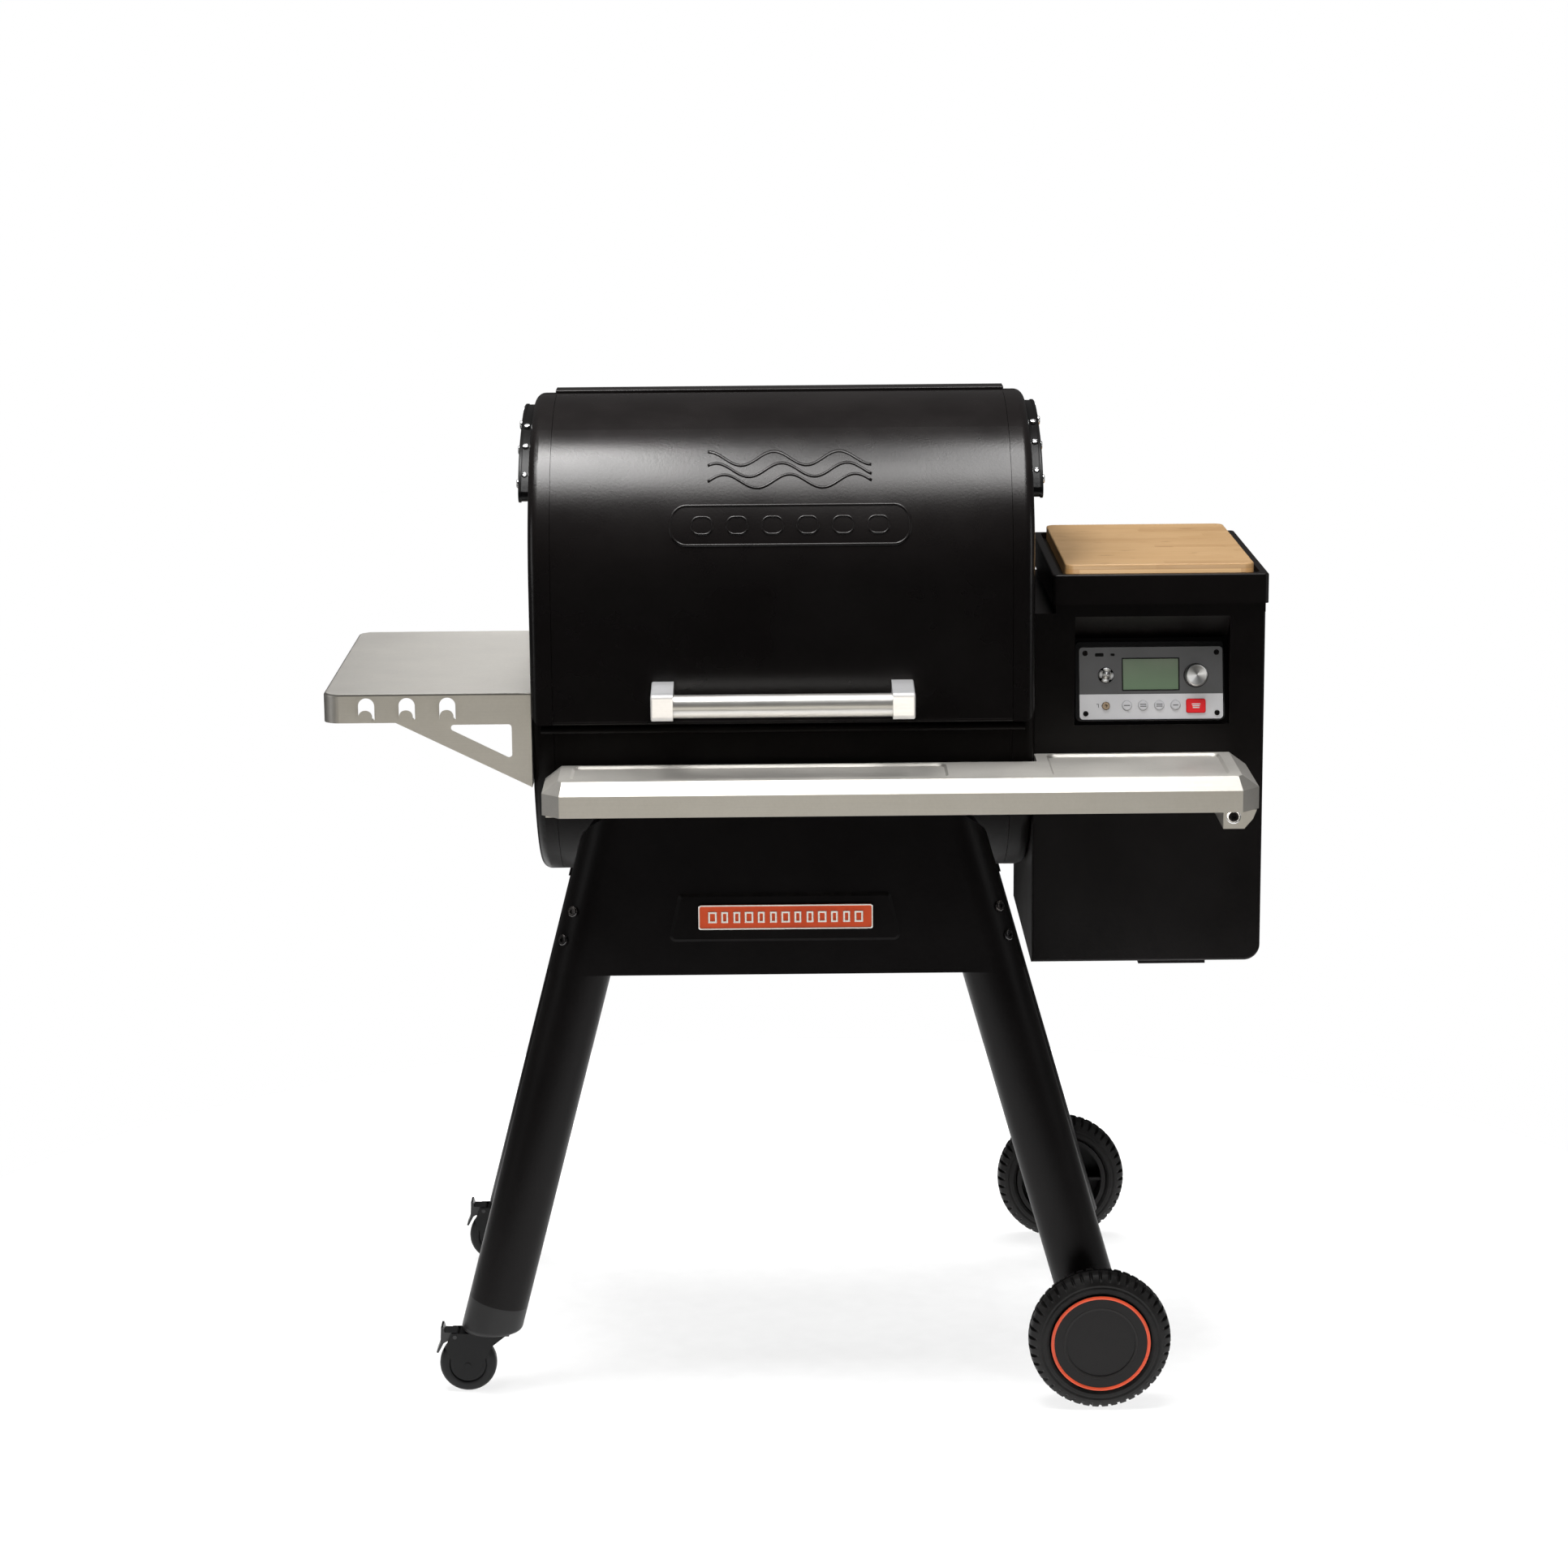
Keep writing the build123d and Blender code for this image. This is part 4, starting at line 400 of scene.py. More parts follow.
# painted highlight: four bright sectors in the jog cap's colour
jog_chrome = spun_metal_painted_glints("Jog_chrome", (0.6, 0.6, 0.61), 0.28, 4, 2.2)
rim_silver = brushed_metal("Rim_silver", (0.78, 0.78, 0.79), 0.18, "x", 0.4)
dark_well = moulded_plastic("Dark_well", (0.004, 0.004, 0.004), 0.6, 0.00003)

bracket_steel = brushed_metal("Bracket_steel", (0.62, 0.62, 0.63), 0.5, "x", 0.6)
bracket_steel.node_tree.nodes["Principled BSDF"].inputs["Metallic"].default_value = 0.4

slot_of = {part["node"]: part["material_slot"] for part in frame["record"]["subparts"]}
for node_name, node in nodes.items():
    node.data.materials.clear()
    node.data.materials.append(coat[slot_of[node_name]])
nodes["handle_brackets"].data.materials[0] = bracket_steel
low_sheen = powder_coat("Barrel_low_sheen", (0.0054, 0.0044, 0.0041), 0.36, 0.00004, 0.08)
for node_name in ("barrel_ends", "barrel_skin"):
    nodes[node_name].data.materials[0] = low_sheen


# ------------------------------------------------------------------ mesh helpers

def new_object(name, mesh, material, body):
    """Adds a finished mesh, which rides on a CAD body and takes its finish from a slot."""
    piece = bpy.data.objects.new(name, mesh)
    bpy.context.scene.collection.objects.link(piece)
    mesh.materials.append(material)
    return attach(piece, body)


def mesh_from(name, points, faces, smooth=True):
    mesh = bpy.data.meshes.new(name)
    mesh.from_pydata([tuple(p) for p in points], [], faces)
    mesh.validate()
    build = bmesh.new()
    build.from_mesh(mesh)
    bmesh.ops.recalc_face_normals(build, faces=build.faces)
    build.to_mesh(mesh)
    build.free()
    for polygon in mesh.polygons:
        polygon.use_smooth = smooth
    return mesh


def sharpen(mesh, degrees_limit=35.0):
    """Keeps hard corners crisp on a smooth mesh."""
    build = bmesh.new()
    build.from_mesh(mesh)
    for edge in build.edges:
        if len(edge.link_faces) == 2 and edge.calc_face_angle(0.0) > radians(degrees_limit):
            edge.smooth = False
    build.to_mesh(mesh)
    build.free()
    return mesh


def frame_matrix(origin, normal, right=(1, 0, 0)):
    """Local Z along normal, local X close to right."""
    z = Vector(normal).normalized()
    x = (Vector(right) - z * Vector(right).dot(z)).normalized()
    y = z.cross(x)
    matrix = Matrix((x, y, z)).transposed().to_4x4()
    matrix.translation = Vector(origin)
    return matrix


def lathe(name, profile, steps=96, wave=None):
    """Closed ring swept from (radius, height) points; wave(turn, i, r) may change a radius."""
    points = []
    faces = []
    count = len(profile)
    for turn in range(steps):
        angle = 2 * pi * turn / steps
        for index, (radius, height) in enumerate(profile):
            reach = wave(turn, index, radius) if wave else radius
            points.append((reach * cos(angle), reach * sin(angle), height))
    for turn in range(steps):
        other = (turn + 1) % steps
        for index in range(count - 1):
            faces.append((turn * count + index, other * count + index,
                          other * count + index + 1, turn * count + index + 1))
    mesh = mesh_from(name, points, faces)
    build = bmesh.new()
    build.from_mesh(mesh)
    bmesh.ops.remove_doubles(build, verts=build.verts, dist=1e-7)
    bmesh.ops.recalc_face_normals(build, faces=build.faces)
    build.to_mesh(mesh)
    build.free()
    for polygon in mesh.polygons:
        polygon.use_smooth = True
    return mesh


def turned_piece(name, profile, matrix, material, body, steps=96, wave=None, crisp=35.0):
    mesh = lathe(name, profile, steps, wave)
    sharpen(mesh, crisp)
    piece = bpy.data.objects.new(name, mesh)
    bpy.context.scene.collection.objects.link(piece)
    piece.matrix_world = matrix
    mesh.materials.append(material)
    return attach(piece, body)


def rounded_outline(width, height, radius, steps=6):
    """Corner points of a rounded rectangle, anticlockwise."""
    outline = []
    for corner, (sx, sy) in enumerate(((1, 1), (-1, 1), (-1, -1), (1, -1))):
        centre = (sx * (width / 2 - radius), sy * (height / 2 - radius))
        for step in range(steps + 1):
            angle = radians(90 * corner + 90 * step / steps)
            outline.append((centre[0] + radius * cos(angle), centre[1] + radius * sin(angle)))
    return outline


def plate_mesh(name, outline, low, high, bevel=0.0, hole=None):
    """Flat plate of an outline between two heights, with a bevelled top; hole makes it a frame."""
    rings = [[(x, y, low) for x, y in outline]]
    if bevel:
        rings.append([(x, y, high - bevel) for x, y in outline])
        size = max(abs(x) for x, _ in outline), max(abs(y) for _, y in outline)
        rings.append([(x * (1 - bevel / size[0]), y * (1 - bevel / size[1]), high)
                      for x, y in outline])
    else:
        rings.append([(x, y, high) for x, y in outline])
    if hole:
        rings.append([(x, y, high) for x, y in hole])
        rings.append([(x, y, low) for x, y in hole])
    count = len(outline)
    points = [point for ring in rings for point in ring]
    faces = []
    for ring in range(len(rings) - 1):
        for index in range(count):
            after = (index + 1) % count
            faces.append((ring * count + index, ring * count + after,
                          (ring + 1) * count + after, (ring + 1) * count + index))
    if hole:
        last = (len(rings) - 1) * count
        for index in range(count):
            after = (index + 1) % count
            faces.append((last + index, last + after, after, index))
    else:
        faces.append(tuple(range(count))[::-1])
        faces.append(tuple(range((len(rings) - 1) * count, len(rings) * count)))
    return sharpen(mesh_from(name, points, faces), 30.0)


def set_piece(name, mesh, matrix, material, body):
    piece = bpy.data.objects.new(name, mesh)
    bpy.context.scene.collection.objects.link(piece)
    piece.matrix_world = matrix
    mesh.materials.append(material)
    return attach(piece, body)


def panel_matrix(u, v, out=0.0):
    return frame_matrix(panel_point(u, v, out), panel_out)


# ------------------------------------------------------------------ wheels

def tyre_profile(radius, hub, half):
    """Half-open cross-section from the hub bead, over the sidewall and tread, and back."""
    side = [(hub, -half + 0.006), (hub + 0.0015, -half + 0.002), (hub + 0.005, -half),
            (hub + 0.0085, -half + 0.0002), (hub + 0.0105, -half + 0.0014),
            (hub + 0.013, -half + 0.0008), (hub + 0.017, -half + 0.0022),
            (radius - 0.0060, -half + 0.0052), (radius - 0.0036, -half + 0.0070),
            (radius - 0.0018, -half + 0.0095), (radius - 0.0008, -half + 0.0125),
            (radius - 0.0002, -half + 0.0160), (radius, -half + 0.0185)]
    middle = [(radius, -0.0022), (radius - 0.0022, -0.0018), (radius - 0.0022, 0.0018),
              (radius, 0.0022)]
    return side + middle + [(r, -h) for r, h in reversed(side)]


def build_wheel(place, facing):
    joint = joints[f"wheel_{place}_roll"]
    centre = Vector(joint["pos_m"])
    low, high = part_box(f"tyre_{place}")
    radius = (high.z - low.z) / 2
    half = (high.y - low.y) / 2
    hub_low, hub_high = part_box(f"hub_{place}")
    hub = (hub_high.z - hub_low.z) / 2
    body = f"wheel_{place}"
    matrix = frame_matrix(centre, (0, facing, 0))
    profile = tyre_profile(radius, hub, half)
    side_count = 13
    total = len(profile)
    lugs = 46
    per_lug = 8

    def tread(turn, index, reach):
        place_in_lug = (turn % per_lug)
        on_left = 6 < index < side_count
        on_right = total - side_count <= index < total - 7
        if on_right:
            place_in_lug = (turn + per_lug // 2) % per_lug
        gap = place_in_lug in (0, 1)
        if (on_left or on_right) and gap:
            depth = 0.0042 if index not in (7, total - 8) else 0.0016
            return reach - depth
        return reach

    mesh = lathe(f"Tyre_{place}", profile, lugs * per_lug, tread)
    sharpen(mesh, 24.0)
    tyre = bpy.data.objects.new(f"Tyre_{place}", mesh)
    bpy.context.scene.collection.objects.link(tyre)
    tyre.matrix_world = matrix
    mesh.materials.append(coat["tyre_rubber"])
    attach(tyre, body)
    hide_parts(f"tyre_{place}")
    # orange ring on the outer face of the hub
    face = (hub_high.y if facing > 0 else -hub_low.y) - abs(centre.y)
    ring = [(hub - 0.0045, face - 0.0010), (hub - 0.0042, face + 0.0004), (hub - 0.0022, face + 0.0011),
            (hub - 0.0004, face + 0.0004), (hub - 0.0001, face - 0.0010), (hub - 0.0045, face - 0.0010)]
    turned_piece(f"Hub_ring_{place}", ring, matrix, ring_orange, body, 160)
    # dished centre with a moulded rim
    dish = [(0.0, face - 0.0052), (0.030, face - 0.0050), (0.0385, face - 0.0046),
            (0.0405, face - 0.0052), (0.0425, face - 0.0052), (0.0432, face - 0.0002),
            (0.0445, face + 0.0004), (0.0462, face + 0.0004), (0.0470, face - 0.0004),
            (0.0440, face - 0.0060), (0.0, face - 0.0062)]
    turned_piece(f"Hub_dish_{place}", dish, matrix, coat["hub_plastic"], body, 128)


for place, facing in (("front", -1), ("rear", 1)):
    build_wheel(place, facing)


# ------------------------------------------------------------------ casters

def build_caster(place):
    joint = joints[f"caster_{place}_roll"]
    centre = Vector(joint["pos_m"])
    low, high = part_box(f"caster_wheel_{place}")
    radius = (high.z - low.z) / 2
    half = (high.y - low.y) / 2
    matrix = frame_matrix(centre, (0, -1, 0))
    half_profile = [(0.0042, half - 0.0005), (0.0105, half - 0.0005), (0.0115, half - 0.0022),
                    (0.0225, half - 0.0026), (0.0235, half - 0.0008), (0.0250, half - 0.0002),
                    (0.0268, half - 0.0002), (radius - 0.0040, half - 0.0008),
                    (radius - 0.0018, half - 0.0026), (radius - 0.0004, half - 0.0052),
                    (radius, half - 0.0085)]
    profile = [(r, -h) for r, h in half_profile] + [(r, h) for r, h in reversed(half_profile)]
    wheel = turned_piece(f"Caster_tyre_{place}", profile + [profile[0]], matrix,
                         coat["caster_tread"], f"caster_wheel_{place}", 96)
    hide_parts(f"caster_wheel_{place}")


for place in ("front", "rear"):
    build_caster(place)


# ------------------------------------------------------------------ control panel

def dial_knob():
    """Turned knob: knurled skirt, bright rim and a slightly dished face."""
    radius = 0.014
    top = 0.0160
    profile = [(0.0, 0.0012), (radius - 0.0006, 0.0012), (radius, 0.0020), (radius, top - 0.0026),
               (radius - 0.0005, top - 0.0022), (radius - 0.0005, top - 0.0018),
               (radius - 0.0002, top - 0.0015), (radius - 0.0014, top), (radius - 0.0020, top + 0.0001),
               (radius - 0.0024, top - 0.0004), (0.0004, top - 0.0010), (0.0, top - 0.0010)]

    def knurl(turn, index, reach):
        return reach - (0.00035 if index in (2, 3) and turn % 2 else 0.0)

    knob = turned_piece("Dial_knob", profile, panel_matrix(0.058, 0.007), coat["knob_chrome"],
                        "control_knob", 120, knurl, 28.0)
    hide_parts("control_knob")
    # painted shadow: a thin near-black ring round the knob's foot, where its shade falls on the faceplate
    painted_shadow_ring = [(radius + 0.0002, 0.0002), (radius + 0.0012, 0.0002), (radius + 0.0012, 0.0006),
              (radius + 0.0002, 0.0009), (radius + 0.0002, 0.0002)]
    turned_piece("Dial_collar", painted_shadow_ring, panel_matrix(0.058, 0.007), dark_well, "frame",
                 96)


def jog_button():
    """Round chrome cap with four finger notches and a raised hub."""
    low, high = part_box("jog_button")
    radius = (high.x - low.x) / 2
    middle_x = (high.x + low.x) / 2
    u = middle_x - panel_mid.x
    profile = [(0.0, -0.0035), (radius - 0.0008, -0.0035), (radius, -0.0025), (radius, 0.0018),
               (radius - 0.0006, 0.0030), (radius - 0.0020, 0.0036), (radius - 0.0040, 0.0034),
               (0.0046, 0.0026), (0.0042, 0.0036), (0.0030, 0.0040), (0.0, 0.0041)]

    def notch(turn, index, reach):
        angle = (turn / 96 * 360 + 10) % 90
        near = abs(angle - 45)
        if index in (2, 3, 4, 5) and near < 12:
            return reach - 0.0022 * (1 - (near / 12) ** 2)
        return reach

    cap = turned_piece("Jog_cap", profile, panel_matrix(u, 0.008), jog_chrome, "jog_button",
                       96, notch, 28.0)
    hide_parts("jog_button")


dial_knob()
jog_button()

arm_low, arm_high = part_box("hinge_arms")
for side, across in (("left", arm_low.x + 0.0075), ("right", arm_high.x - 0.0075)):
    for number, (deep, high, lean) in enumerate(((-0.0880, 1.2050, 1.10), (-0.1250, 1.1838, 0.86),
                                                 (-0.1590, 1.1525, 0.70))):
        outward = Vector((0, -cos(lean), sin(lean)))
        seat_at = frame_matrix(Vector((across, deep, high)), outward)
        dome = [(0.0, -0.0010), (0.0038, -0.0010), (0.0038, 0.0006), (0.0033, 0.0016),
                (0.0020, 0.0021), (0.0018, 0.0012), (0.0, 0.0011)]
        turned_piece(f"Arm_bolt_{side}_{number}", dome, seat_at, coat["bright_screw"], "lid",
                     32)

# bright washer round the shelf bracket's screw
strut_low, strut_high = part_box("shelf_brackets")
washer = [(0.0058, -0.0002), (0.0088, -0.0002), (0.0088, 0.0006), (0.0080, 0.0011),
          (0.0064, 0.0011), (0.0058, 0.0006), (0.0058, -0.0002)]
turned_piece("Bracket_washer", washer, frame_matrix(
    (strut_high.x - 0.0280, strut_low.y, strut_low.z + 0.0150), (0, -1, 0)),
    coat["bright_screw"], "frame", 48)

# dark well round the display, and the plain printed marks
well = plate_mesh("Display_frame", rounded_outline(0.0716, 0.0410, 0.0012), -0.0018, 0.00035, 0.0002,
                  rounded_outline(0.0688, 0.0382, 0.0008))
set_piece("Display_frame", well, panel_matrix(0.002, 0.009), dark_well, "frame")


def printed_mark(name, u, v, width, height, material, body="frame", out=0.0, radius=None):
    outline = rounded_outline(width, height, radius or min(width, height) * 0.45, 3)
    mesh = plate_mesh(name, outline, out - 0.00002, out + 0.00010)
    return set_piece(name, mesh, panel_matrix(u, v), material, body)


for number in range(4):
    u = -0.0279 + 0.0201 * number
    lines = (0.0012, -0.0012) if number in (1, 2) else (0.0,)
    for row, shift in enumerate(lines):
        printed_mark(f"Key_mark_{number}_{row}", u, -0.0297 + shift, 0.0078 - 0.0012 * (number == 3),
                     0.0011, print_grey, f"menu_button_{number + 1}", 0.0020)
printed_mark("Jack_mark_stem", -0.0632, -0.0300, 0.0007, 0.0042, print_grey)
printed_mark("Jack_mark_cap", -0.0643, -0.0278, 0.0026, 0.0008, print_grey)
for step, wide in enumerate((0.0050, 0.0034, 0.0026)):
    printed_mark(f"Ignite_mark_{step}", 0.0577, -0.0308 + 0.0022 * (1 - step), wide + 0.006, 0.0013,
                 print_pale, "ignite_button", 0.0022)
for step, wide in enumerate((0.0105, 0.0050)):
    printed_mark(f"Corner_mark_{step}", -0.0615 + 0.0165 * step, 0.0335, wide, 0.0042 - 0.0012 * step,
                 dark_well, "frame", 0.0, 0.0009)


# ------------------------------------------------------------------ badge and lid relief

def badge():
    """Enamel plate with a polished rim and plain raised bars."""
    low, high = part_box("badge_plate")
    middle = (low + high) / 2
    width = high.x - low.x
    height = high.z - low.z
    matrix = frame_matrix((middle.x, low.y, middle.z), (0, -1, 0))
    rim = plate_mesh("Badge_rim", rounded_outline(width, height, 0.0035), -0.0002, 0.0007, 0.0003,
                     rounded_outline(width - 0.0034, height - 0.0034, 0.0022))
    set_piece("Badge_rim", rim, matrix, rim_silver, "frame")
    count = 13
    pitch = (width - 0.020) / count
    for index in range(count):
        wide = pitch * (0.58 if index % 3 else 0.72)
        outline = rounded_outline(wide, height * 0.46, 0.0012, 3)
        hole = rounded_outline(wide - 0.0046, height * 0.46 - 0.0046, 0.0006, 3)
        bar = plate_mesh(f"Badge_bar_{index}", outline, -0.0001, 0.0008, 0.0003, hole)
        shift = (index - (count - 1) / 2) * pitch
        set_piece(f"Badge_bar_{index}", bar, matrix @ Matrix.Translation((shift, 0, 0)), rim_silver,
                  "frame")


badge()

lid_low, lid_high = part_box("lid_skin")
lid_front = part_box("lid_ends")[0].y
shoulder_radius = 0.200
shoulder_y = lid_front + shoulder_radius
shoulder_z = 1.0248


def lid_surface(x, z, out=0.0):
    """Point on the lid's outer skin at height z, lifted along its normal."""
    if z <= shoulder_z:
        return Vector((x, lid_front - out, z))
    lift = min((z - shoulder_z) / shoulder_radius, 0.999)
    normal = Vector((0, -sqrt(1 - lift * lift), lift))
    return Vector((x, shoulder_y, shoulder_z)) + normal * (shoulder_radius + out)


def relief_line(name, path, width=0.0042, proud=0.0011, closed=False):
    """Soft pressed ridge along a path of (x, z) points on the lid."""
    section = [(-1.0, -0.35), (-0.62, 0.45), (-0.22, 0.92), (0.22, 0.92), (0.62, 0.45), (1.0, -0.35)]
    points = []
    faces = []
    total = len(path)
    for index, (x, z) in enumerate(path):
        before = path[(index - 1) % total] if closed or index else path[index]
        after = path[(index + 1) % total] if closed or index < total - 1 else path[index]
        along = Vector((after[0] - before[0], after[1] - before[1]))
        along.normalize()
        side = Vector((-along.y, along.x))
        for across, up in section:
            flat = Vector((x, z)) + side * across * width / 2
            points.append(lid_surface(flat.x, flat.y, up * proud))
    rows = len(section)
    last = total if closed else total - 1
    for index in range(last):
        other = (index + 1) % total
        for row in range(rows - 1):
            faces.append((index * rows + row, other * rows + row, other * rows + row + 1,
                          index * rows + row + 1))
        faces.append((index * rows + rows - 1, other * rows + rows - 1, other * rows, index * rows))
    if not closed:
        faces.append(tuple(range(rows)))
        faces.append(tuple(range((total - 1) * rows, total * rows))[::-1])
    mesh = mesh_from(name, points, faces)
    return new_object(name, mesh, coat["barrel_black"], "lid")


lid_middle = (lid_low.x + lid_high.x) / 2
relief_x = lid_middle + 0.011
for wave_number in range(3):
    path = []
    for step in range(61):
        share = step / 60
        x = relief_x - 0.100 + 0.200 * share
        swing = 0.0075 * sin(2 * pi * (share * 2.5 + 0.12 * wave_number))
        path.append((x, 1.148 + 0.0125 * wave_number + swing))
    relief_line(f"Lid_relief_wave_{wave_number}", path, 0.0040, 0.0011)
frame_path = []
for x, z in rounded_outline(0.292, 0.046, 0.020, 10):
    frame_path.append((relief_x + x, 1.098 + z))
relief_line("Lid_relief_frame", frame_path, 0.0042, 0.0012, True)
for index in range(6):
    bar_path = []
    centre_x = relief_x + (index - 2.5) * 0.043
    for x, z in rounded_outline(0.026, 0.020, 0.0095, 8):
        bar_path.append((centre_x + x, 1.098 + z))
    relief_line(f"Lid_relief_ring_{index}", bar_path, 0.0032, 0.0009, True)


# ------------------------------------------------------------------ floor, light, camera

def floor_disc(radius):
    """Round pale floor under the object."""
    rings = 24
    steps = 96
    points = [(0, 0, 0)]
    faces = []
    for ring in range(1, rings + 1):
        reach = radius * ring / rings
        for step in range(steps):
            angle = 2 * pi * step / steps
            points.append((reach * cos(angle), reach * sin(angle), 0))
    for step in range(steps):
        faces.append((0, 1 + step, 1 + (step + 1) % steps))
    for ring in range(rings - 1):
        base = 1 + ring * steps
        for step in range(steps):
            after = (step + 1) % steps
            faces.append((base + step, base + steps + step, base + steps + after, base + after))
    mesh = mesh_from("Studio_floor", points, faces)
    ground = bpy.data.objects.new("Studio_floor", mesh)
    bpy.context.scene.collection.objects.link(ground)
    paint = Paint("Floor_pale", (0.8, 0.8, 0.8), 0.9)
    paint.set("Specular IOR Level", 0.05)
    grain = paint.noise(paint.place(), 30.0, 2.0)
    paint.drive("Base Color", paint.mix(paint.span(grain, 0.3, 0.7, 0.0, 1.0), (0.79, 0.79, 0.79),
                                        (0.81, 0.81, 0.81)))
    mesh.materials.append(paint.material)
    return ground


def soft_box(name, place, aim, size, radiance, tint=(1.0, 1.0, 1.0)):
    """Area light of a given brightness, aimed at a point."""
    light = bpy.data.lights.new(name, "AREA")
    light.shape = "RECTANGLE"
    light.size, light.size_y = size
    light.energy = radiance * pi * size[0] * size[1]
    light.color = tint
    lamp = bpy.data.objects.new(name, light)
    bpy.context.scene.collection.objects.link(lamp)
    back = (Vector(place) - Vector(aim)).normalized()
    lamp.matrix_world = frame_matrix(place, back)
    lamp.visible_camera = False
    return lamp


def studio_world():
    """White to the eye, and dim in reflections, a little brighter behind the object."""
    world = bpy.data.worlds.new("Studio")
    world.use_nodes = True
    bpy.context.scene.world = world
    tree = world.node_tree
    tree.nodes.clear()
    source = tree.nodes.new("ShaderNodeTexCoord")
    axes = tree.nodes.new("ShaderNodeSeparateXYZ")
    tree.links.new(source.outputs["Generated"], axes.inputs[0])
    ramp = tree.nodes.new("ShaderNodeValToRGB")
    reach = tree.nodes.new("ShaderNodeMapRange")
    reach.inputs["From Min"].default_value = -1.0
    tree.links.new(axes.outputs["Y"], reach.inputs["Value"])
    tree.links.new(reach.outputs["Result"], ramp.inputs["Fac"])
    stops = ((0.0, 0.04), (0.35, 0.05), (0.5, 0.06), (0.72, 0.07), (1.0, 0.08))
    points = ramp.color_ramp.elements
    while len(points) < len(stops):
        points.new(0.5)
    for point, (where, tone) in zip(points, stops):
        point.position = where
        point.color = (tone, tone, tone, 1.0)
    glow = tree.nodes.new("ShaderNodeBackground")
    tree.links.new(ramp.outputs["Color"], glow.inputs["Color"])
    white = tree.nodes.new("ShaderNodeBackground")
    white.inputs["Color"].default_value = (1, 1, 1, 1)
    path = tree.nodes.new("ShaderNodeLightPath")
    choose = tree.nodes.new("ShaderNodeMixShader")
    tree.links.new(path.outputs["Is Camera Ray"], choose.inputs[0])
    tree.links.new(glow.outputs[0], choose.inputs[1])
    tree.links.new(white.outputs[0], choose.inputs[2])
    output = tree.nodes.new("ShaderNodeOutputWorld")
    tree.links.new(choose.outputs[0], output.inputs["Surface"])


def lit_only(lamp, name, receivers, blockers=None):
    """Lets a lamp light only some objects; blockers are all that cast its shadow."""
    group = bpy.data.collections.new(name)
    for piece in receivers:
        group.objects.link(piece)
    lamp.light_linking.receiver_collection = group
    if blockers is not None:
        shade = bpy.data.collections.new(name + "_shade")
        for piece in blockers:
            shade.objects.link(piece)
        lamp.light_linking.blocker_collection = shade


def skip_side_shelf(lamp):
    """Keeps a lamp's glare off the side shelf, where it would show from above."""
    group = bpy.data.collections.new(lamp.name + "_skips")
    group.objects.link(nodes["side_shelf"])
    group.collection_objects[0].light_linking.link_state = "EXCLUDE"
    lamp.light_linking.receiver_collection = group


ground = floor_disc(1.35)
studio_world()
for name, place, aim, size, strength in (
        ("Overhead_left", (-0.46, -0.42, 3.1), (-0.32, -0.30, 1.0), (0.55, 1.1), 15.0),
        ("Overhead_middle", (-0.02, -0.42, 3.1), (-0.02, -0.30, 1.0), (0.34, 1.1), 1.0),
        ("Overhead_right", (0.55, -0.42, 3.1), (0.30, -0.30, 1.0), (0.6, 1.1), 11.0),
        ("Overhead_far_left", (-1.20, -0.2, 3.1), (-0.45, 0.0, 0.9), (0.6, 1.0), 8.0)):
    skip_side_shelf(soft_box(name, place, aim, size, strength))
back_fill = soft_box("Overhead_back", (0.1, 0.85, 3.1), (0.1, 0.0, 1.0), (2.2, 0.8), 4.0)
soft_box("Side_left", (-2.6, -1.0, 1.3), (0.0, 0.0, 0.8), (0.7, 1.6), 2.0)
soft_box("Side_right", (2.6, -1.0, 1.3), (0.0, 0.0, 0.8), (0.7, 1.6), 2.0)

# fill from low in front, for the bright finishes only
bright_slots = {"shelf_steel", "handle_steel", "bright_screw", "board_bamboo", "faceplate_print",
                "display_lcd", "knob_chrome", "key_plastic", "ignite_red", "badge_enamel",
                "jack_metal"}
bright = [piece for piece in bpy.context.scene.objects
          if piece.type == "MESH" and piece.data.materials
          and (slot_of.get(piece.name) in bright_slots or piece.name.split("_")[0] in
               ("Dial", "Jog", "Key", "Ignite", "Badge", "Hub", "Arm", "Bracket"))]
low_front = soft_box("Low_front", (0.0, -3.3, 0.35), (0.0, -0.3, 0.8), (3.4, 1.2), 1.12,
                     (1.0, 0.95, 0.83))
lit_only(low_front, "Bright_finishes", bright)
lit_only(back_fill, "Back_lit", bright + [ground])
for shelf, strength in (("front_shelf", 7.6), ("side_shelf", 3.7)):
    glow = soft_box("Glow_" + shelf, (0.25, 2.9, 2.5), (0.1, 0.0, 0.85), (2.2, 0.9), strength)
    lit_only(glow, "Top_of_" + shelf, [nodes[shelf]], [nodes[shelf]])
lid_parts = [piece for piece in bpy.context.scene.objects if piece.type == "MESH"
             and (piece.name in ("lid_skin", "lid_ends", "barrel_ends", "vent_hood")
                  or piece.name.startswith("Lid_relief"))]
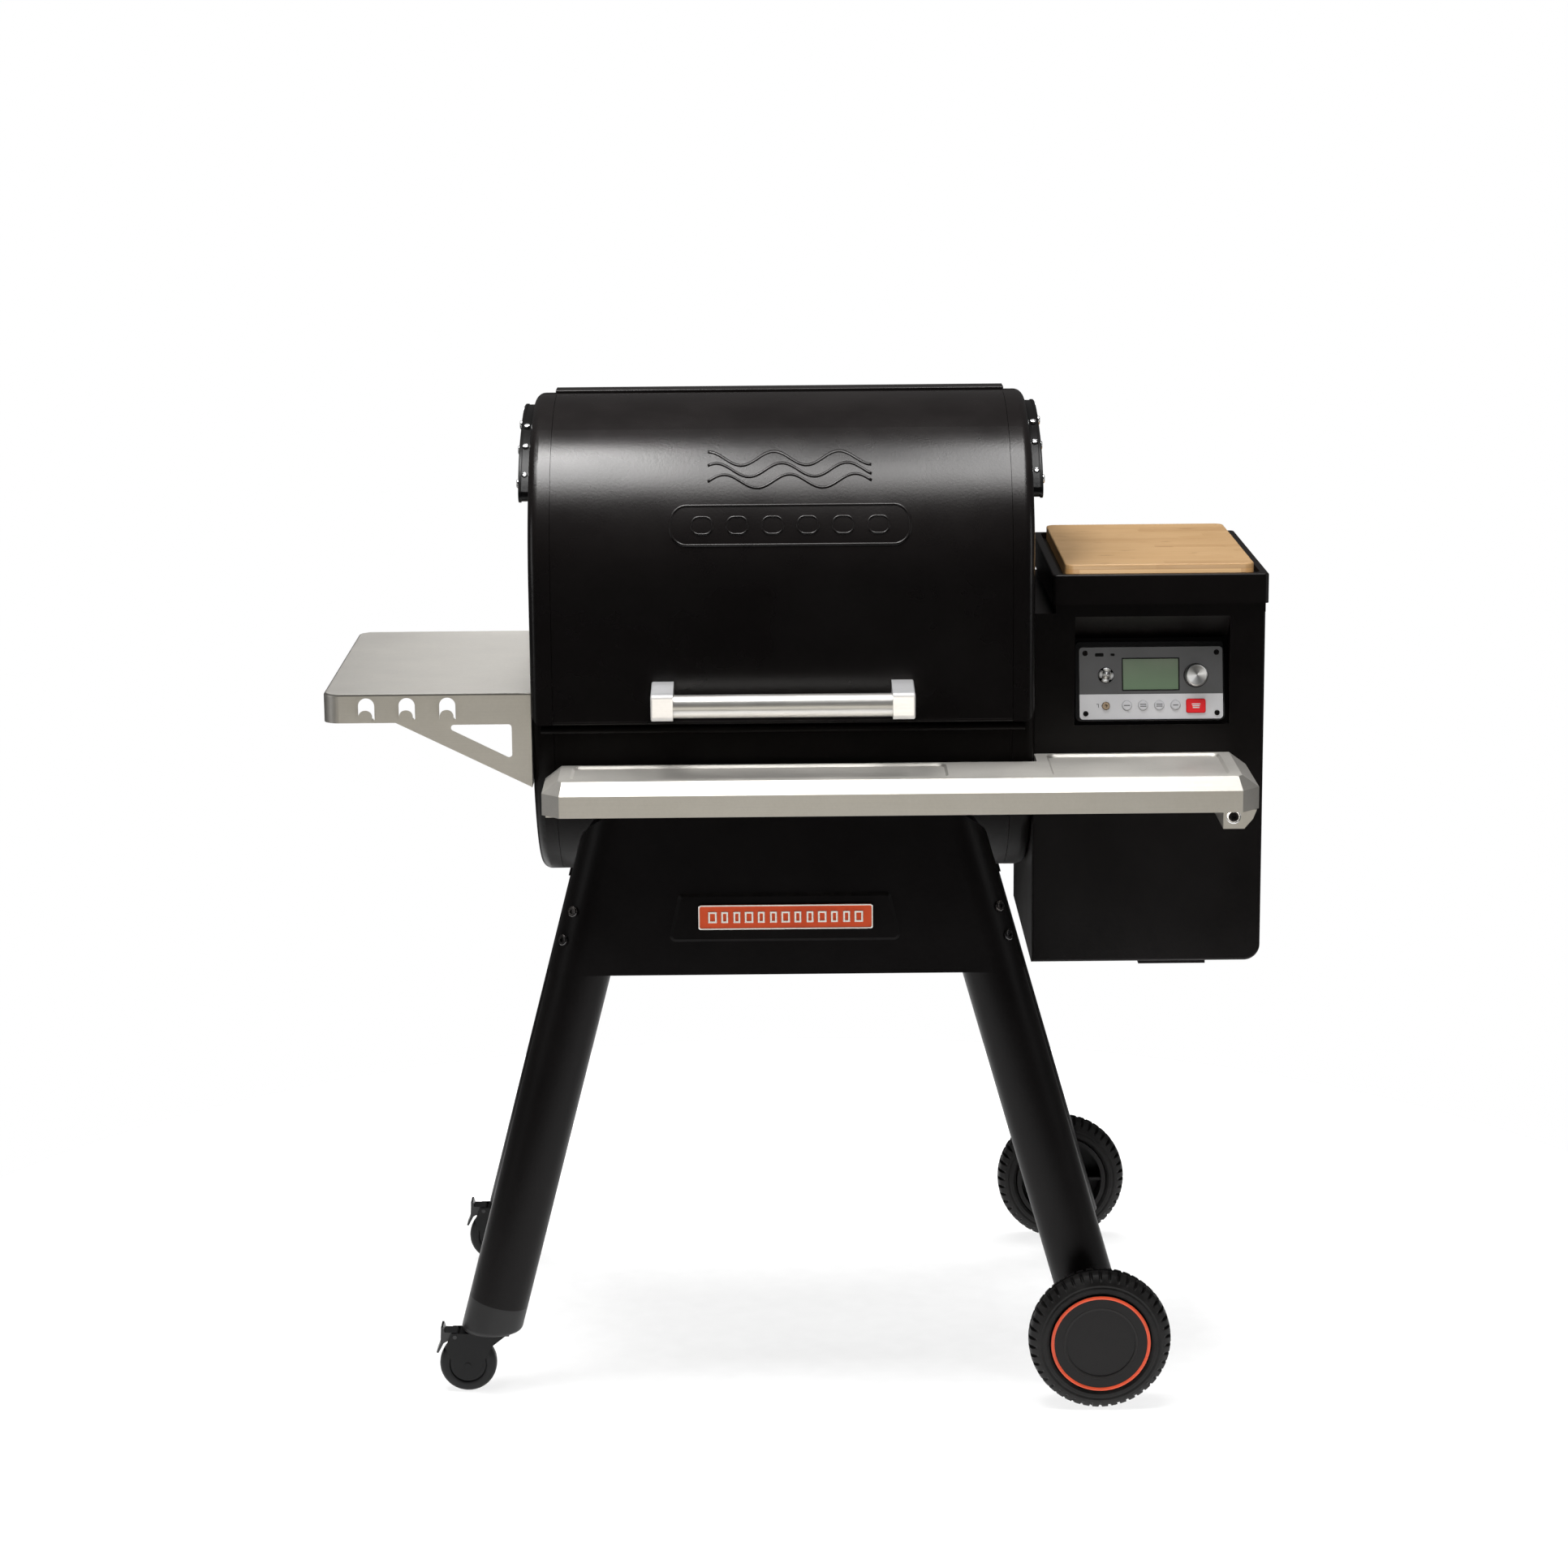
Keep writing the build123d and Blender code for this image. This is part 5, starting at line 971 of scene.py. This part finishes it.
for name, place, size, strength in (
        ("Lid_gloss_left", (-0.50, -0.12, 3.1), (0.50, 0.66), 16.0),
        ("Lid_gloss_right", (0.60, -0.04, 3.1), (0.44, 0.60), 10.0),
        ("Lid_gloss_front", (-0.02, -0.85, 3.1), (1.50, 0.90), 7.0)):
    gloss = soft_box(name, place, (place[0] * 0.65, -0.20, 1.1), size, strength,
                     (1.0, 0.975, 0.96))
    lit_only(gloss, name + "_on", lid_parts)
edge_parts = [nodes["cutting_board"], nodes["handle_brackets"], bpy.data.objects["Bracket_washer"]]
edge_front = soft_box("Edge_front", (0.25, -3.3, 0.75), (0.20, -0.20, 0.95), (1.6, 0.5), 24.0,
                      (1.0, 0.93, 0.82))
lit_only(edge_front, "Edges_only", edge_parts, edge_parts)
dial_parts = [piece for piece in bright if piece.name.split("_")[0] in ("Dial", "Jog")]
dial_key = soft_box("Dial_key", (1.0, -2.9, 2.7), (0.47, -0.17, 0.9), (0.9, 0.9), 3.6)
lit_only(dial_key, "Dials_only", dial_parts, dial_parts)
panel_key = soft_box("Panel_key", (0.45, -3.4, 1.75), (0.42, -0.17, 0.9), (1.0, 0.8), 6.5)
panel_parts = [piece for piece in bright if slot_of.get(piece.name) in
               ("faceplate_print", "display_lcd", "key_plastic", "ignite_red", "jack_metal")
               or piece.name.split("_")[0] in ("Key", "Ignite")]
lit_only(panel_key, "Panel_parts", panel_parts, panel_parts)

sun = bpy.data.lights.new("Floor_wash", "SUN")
sun.energy = 3.3
sun.angle = radians(30)
wash = bpy.data.objects.new("Floor_wash", sun)
bpy.context.scene.collection.objects.link(wash)
lit_only(wash, "Floor_only", [ground], [ground])

camera_data = bpy.data.cameras.new("Camera")
camera_data.sensor_width = 36.0
camera_data.lens = 87.636
camera_data.clip_end = 50.0
camera = bpy.data.objects.new("Camera", camera_data)
bpy.context.scene.collection.objects.link(camera)
turn = (Matrix.Rotation(-0.0024714, 4, "Z") @ Matrix.Rotation(radians(90 - 12.0646), 4, "X")
        @ Matrix.Rotation(-0.0089240, 4, "Z"))
camera.matrix_world = Matrix.Translation((-0.02955, -4.83018, 1.75957)) @ turn
bpy.context.scene.camera = camera
bpy.context.scene.view_settings.view_transform = "Standard"
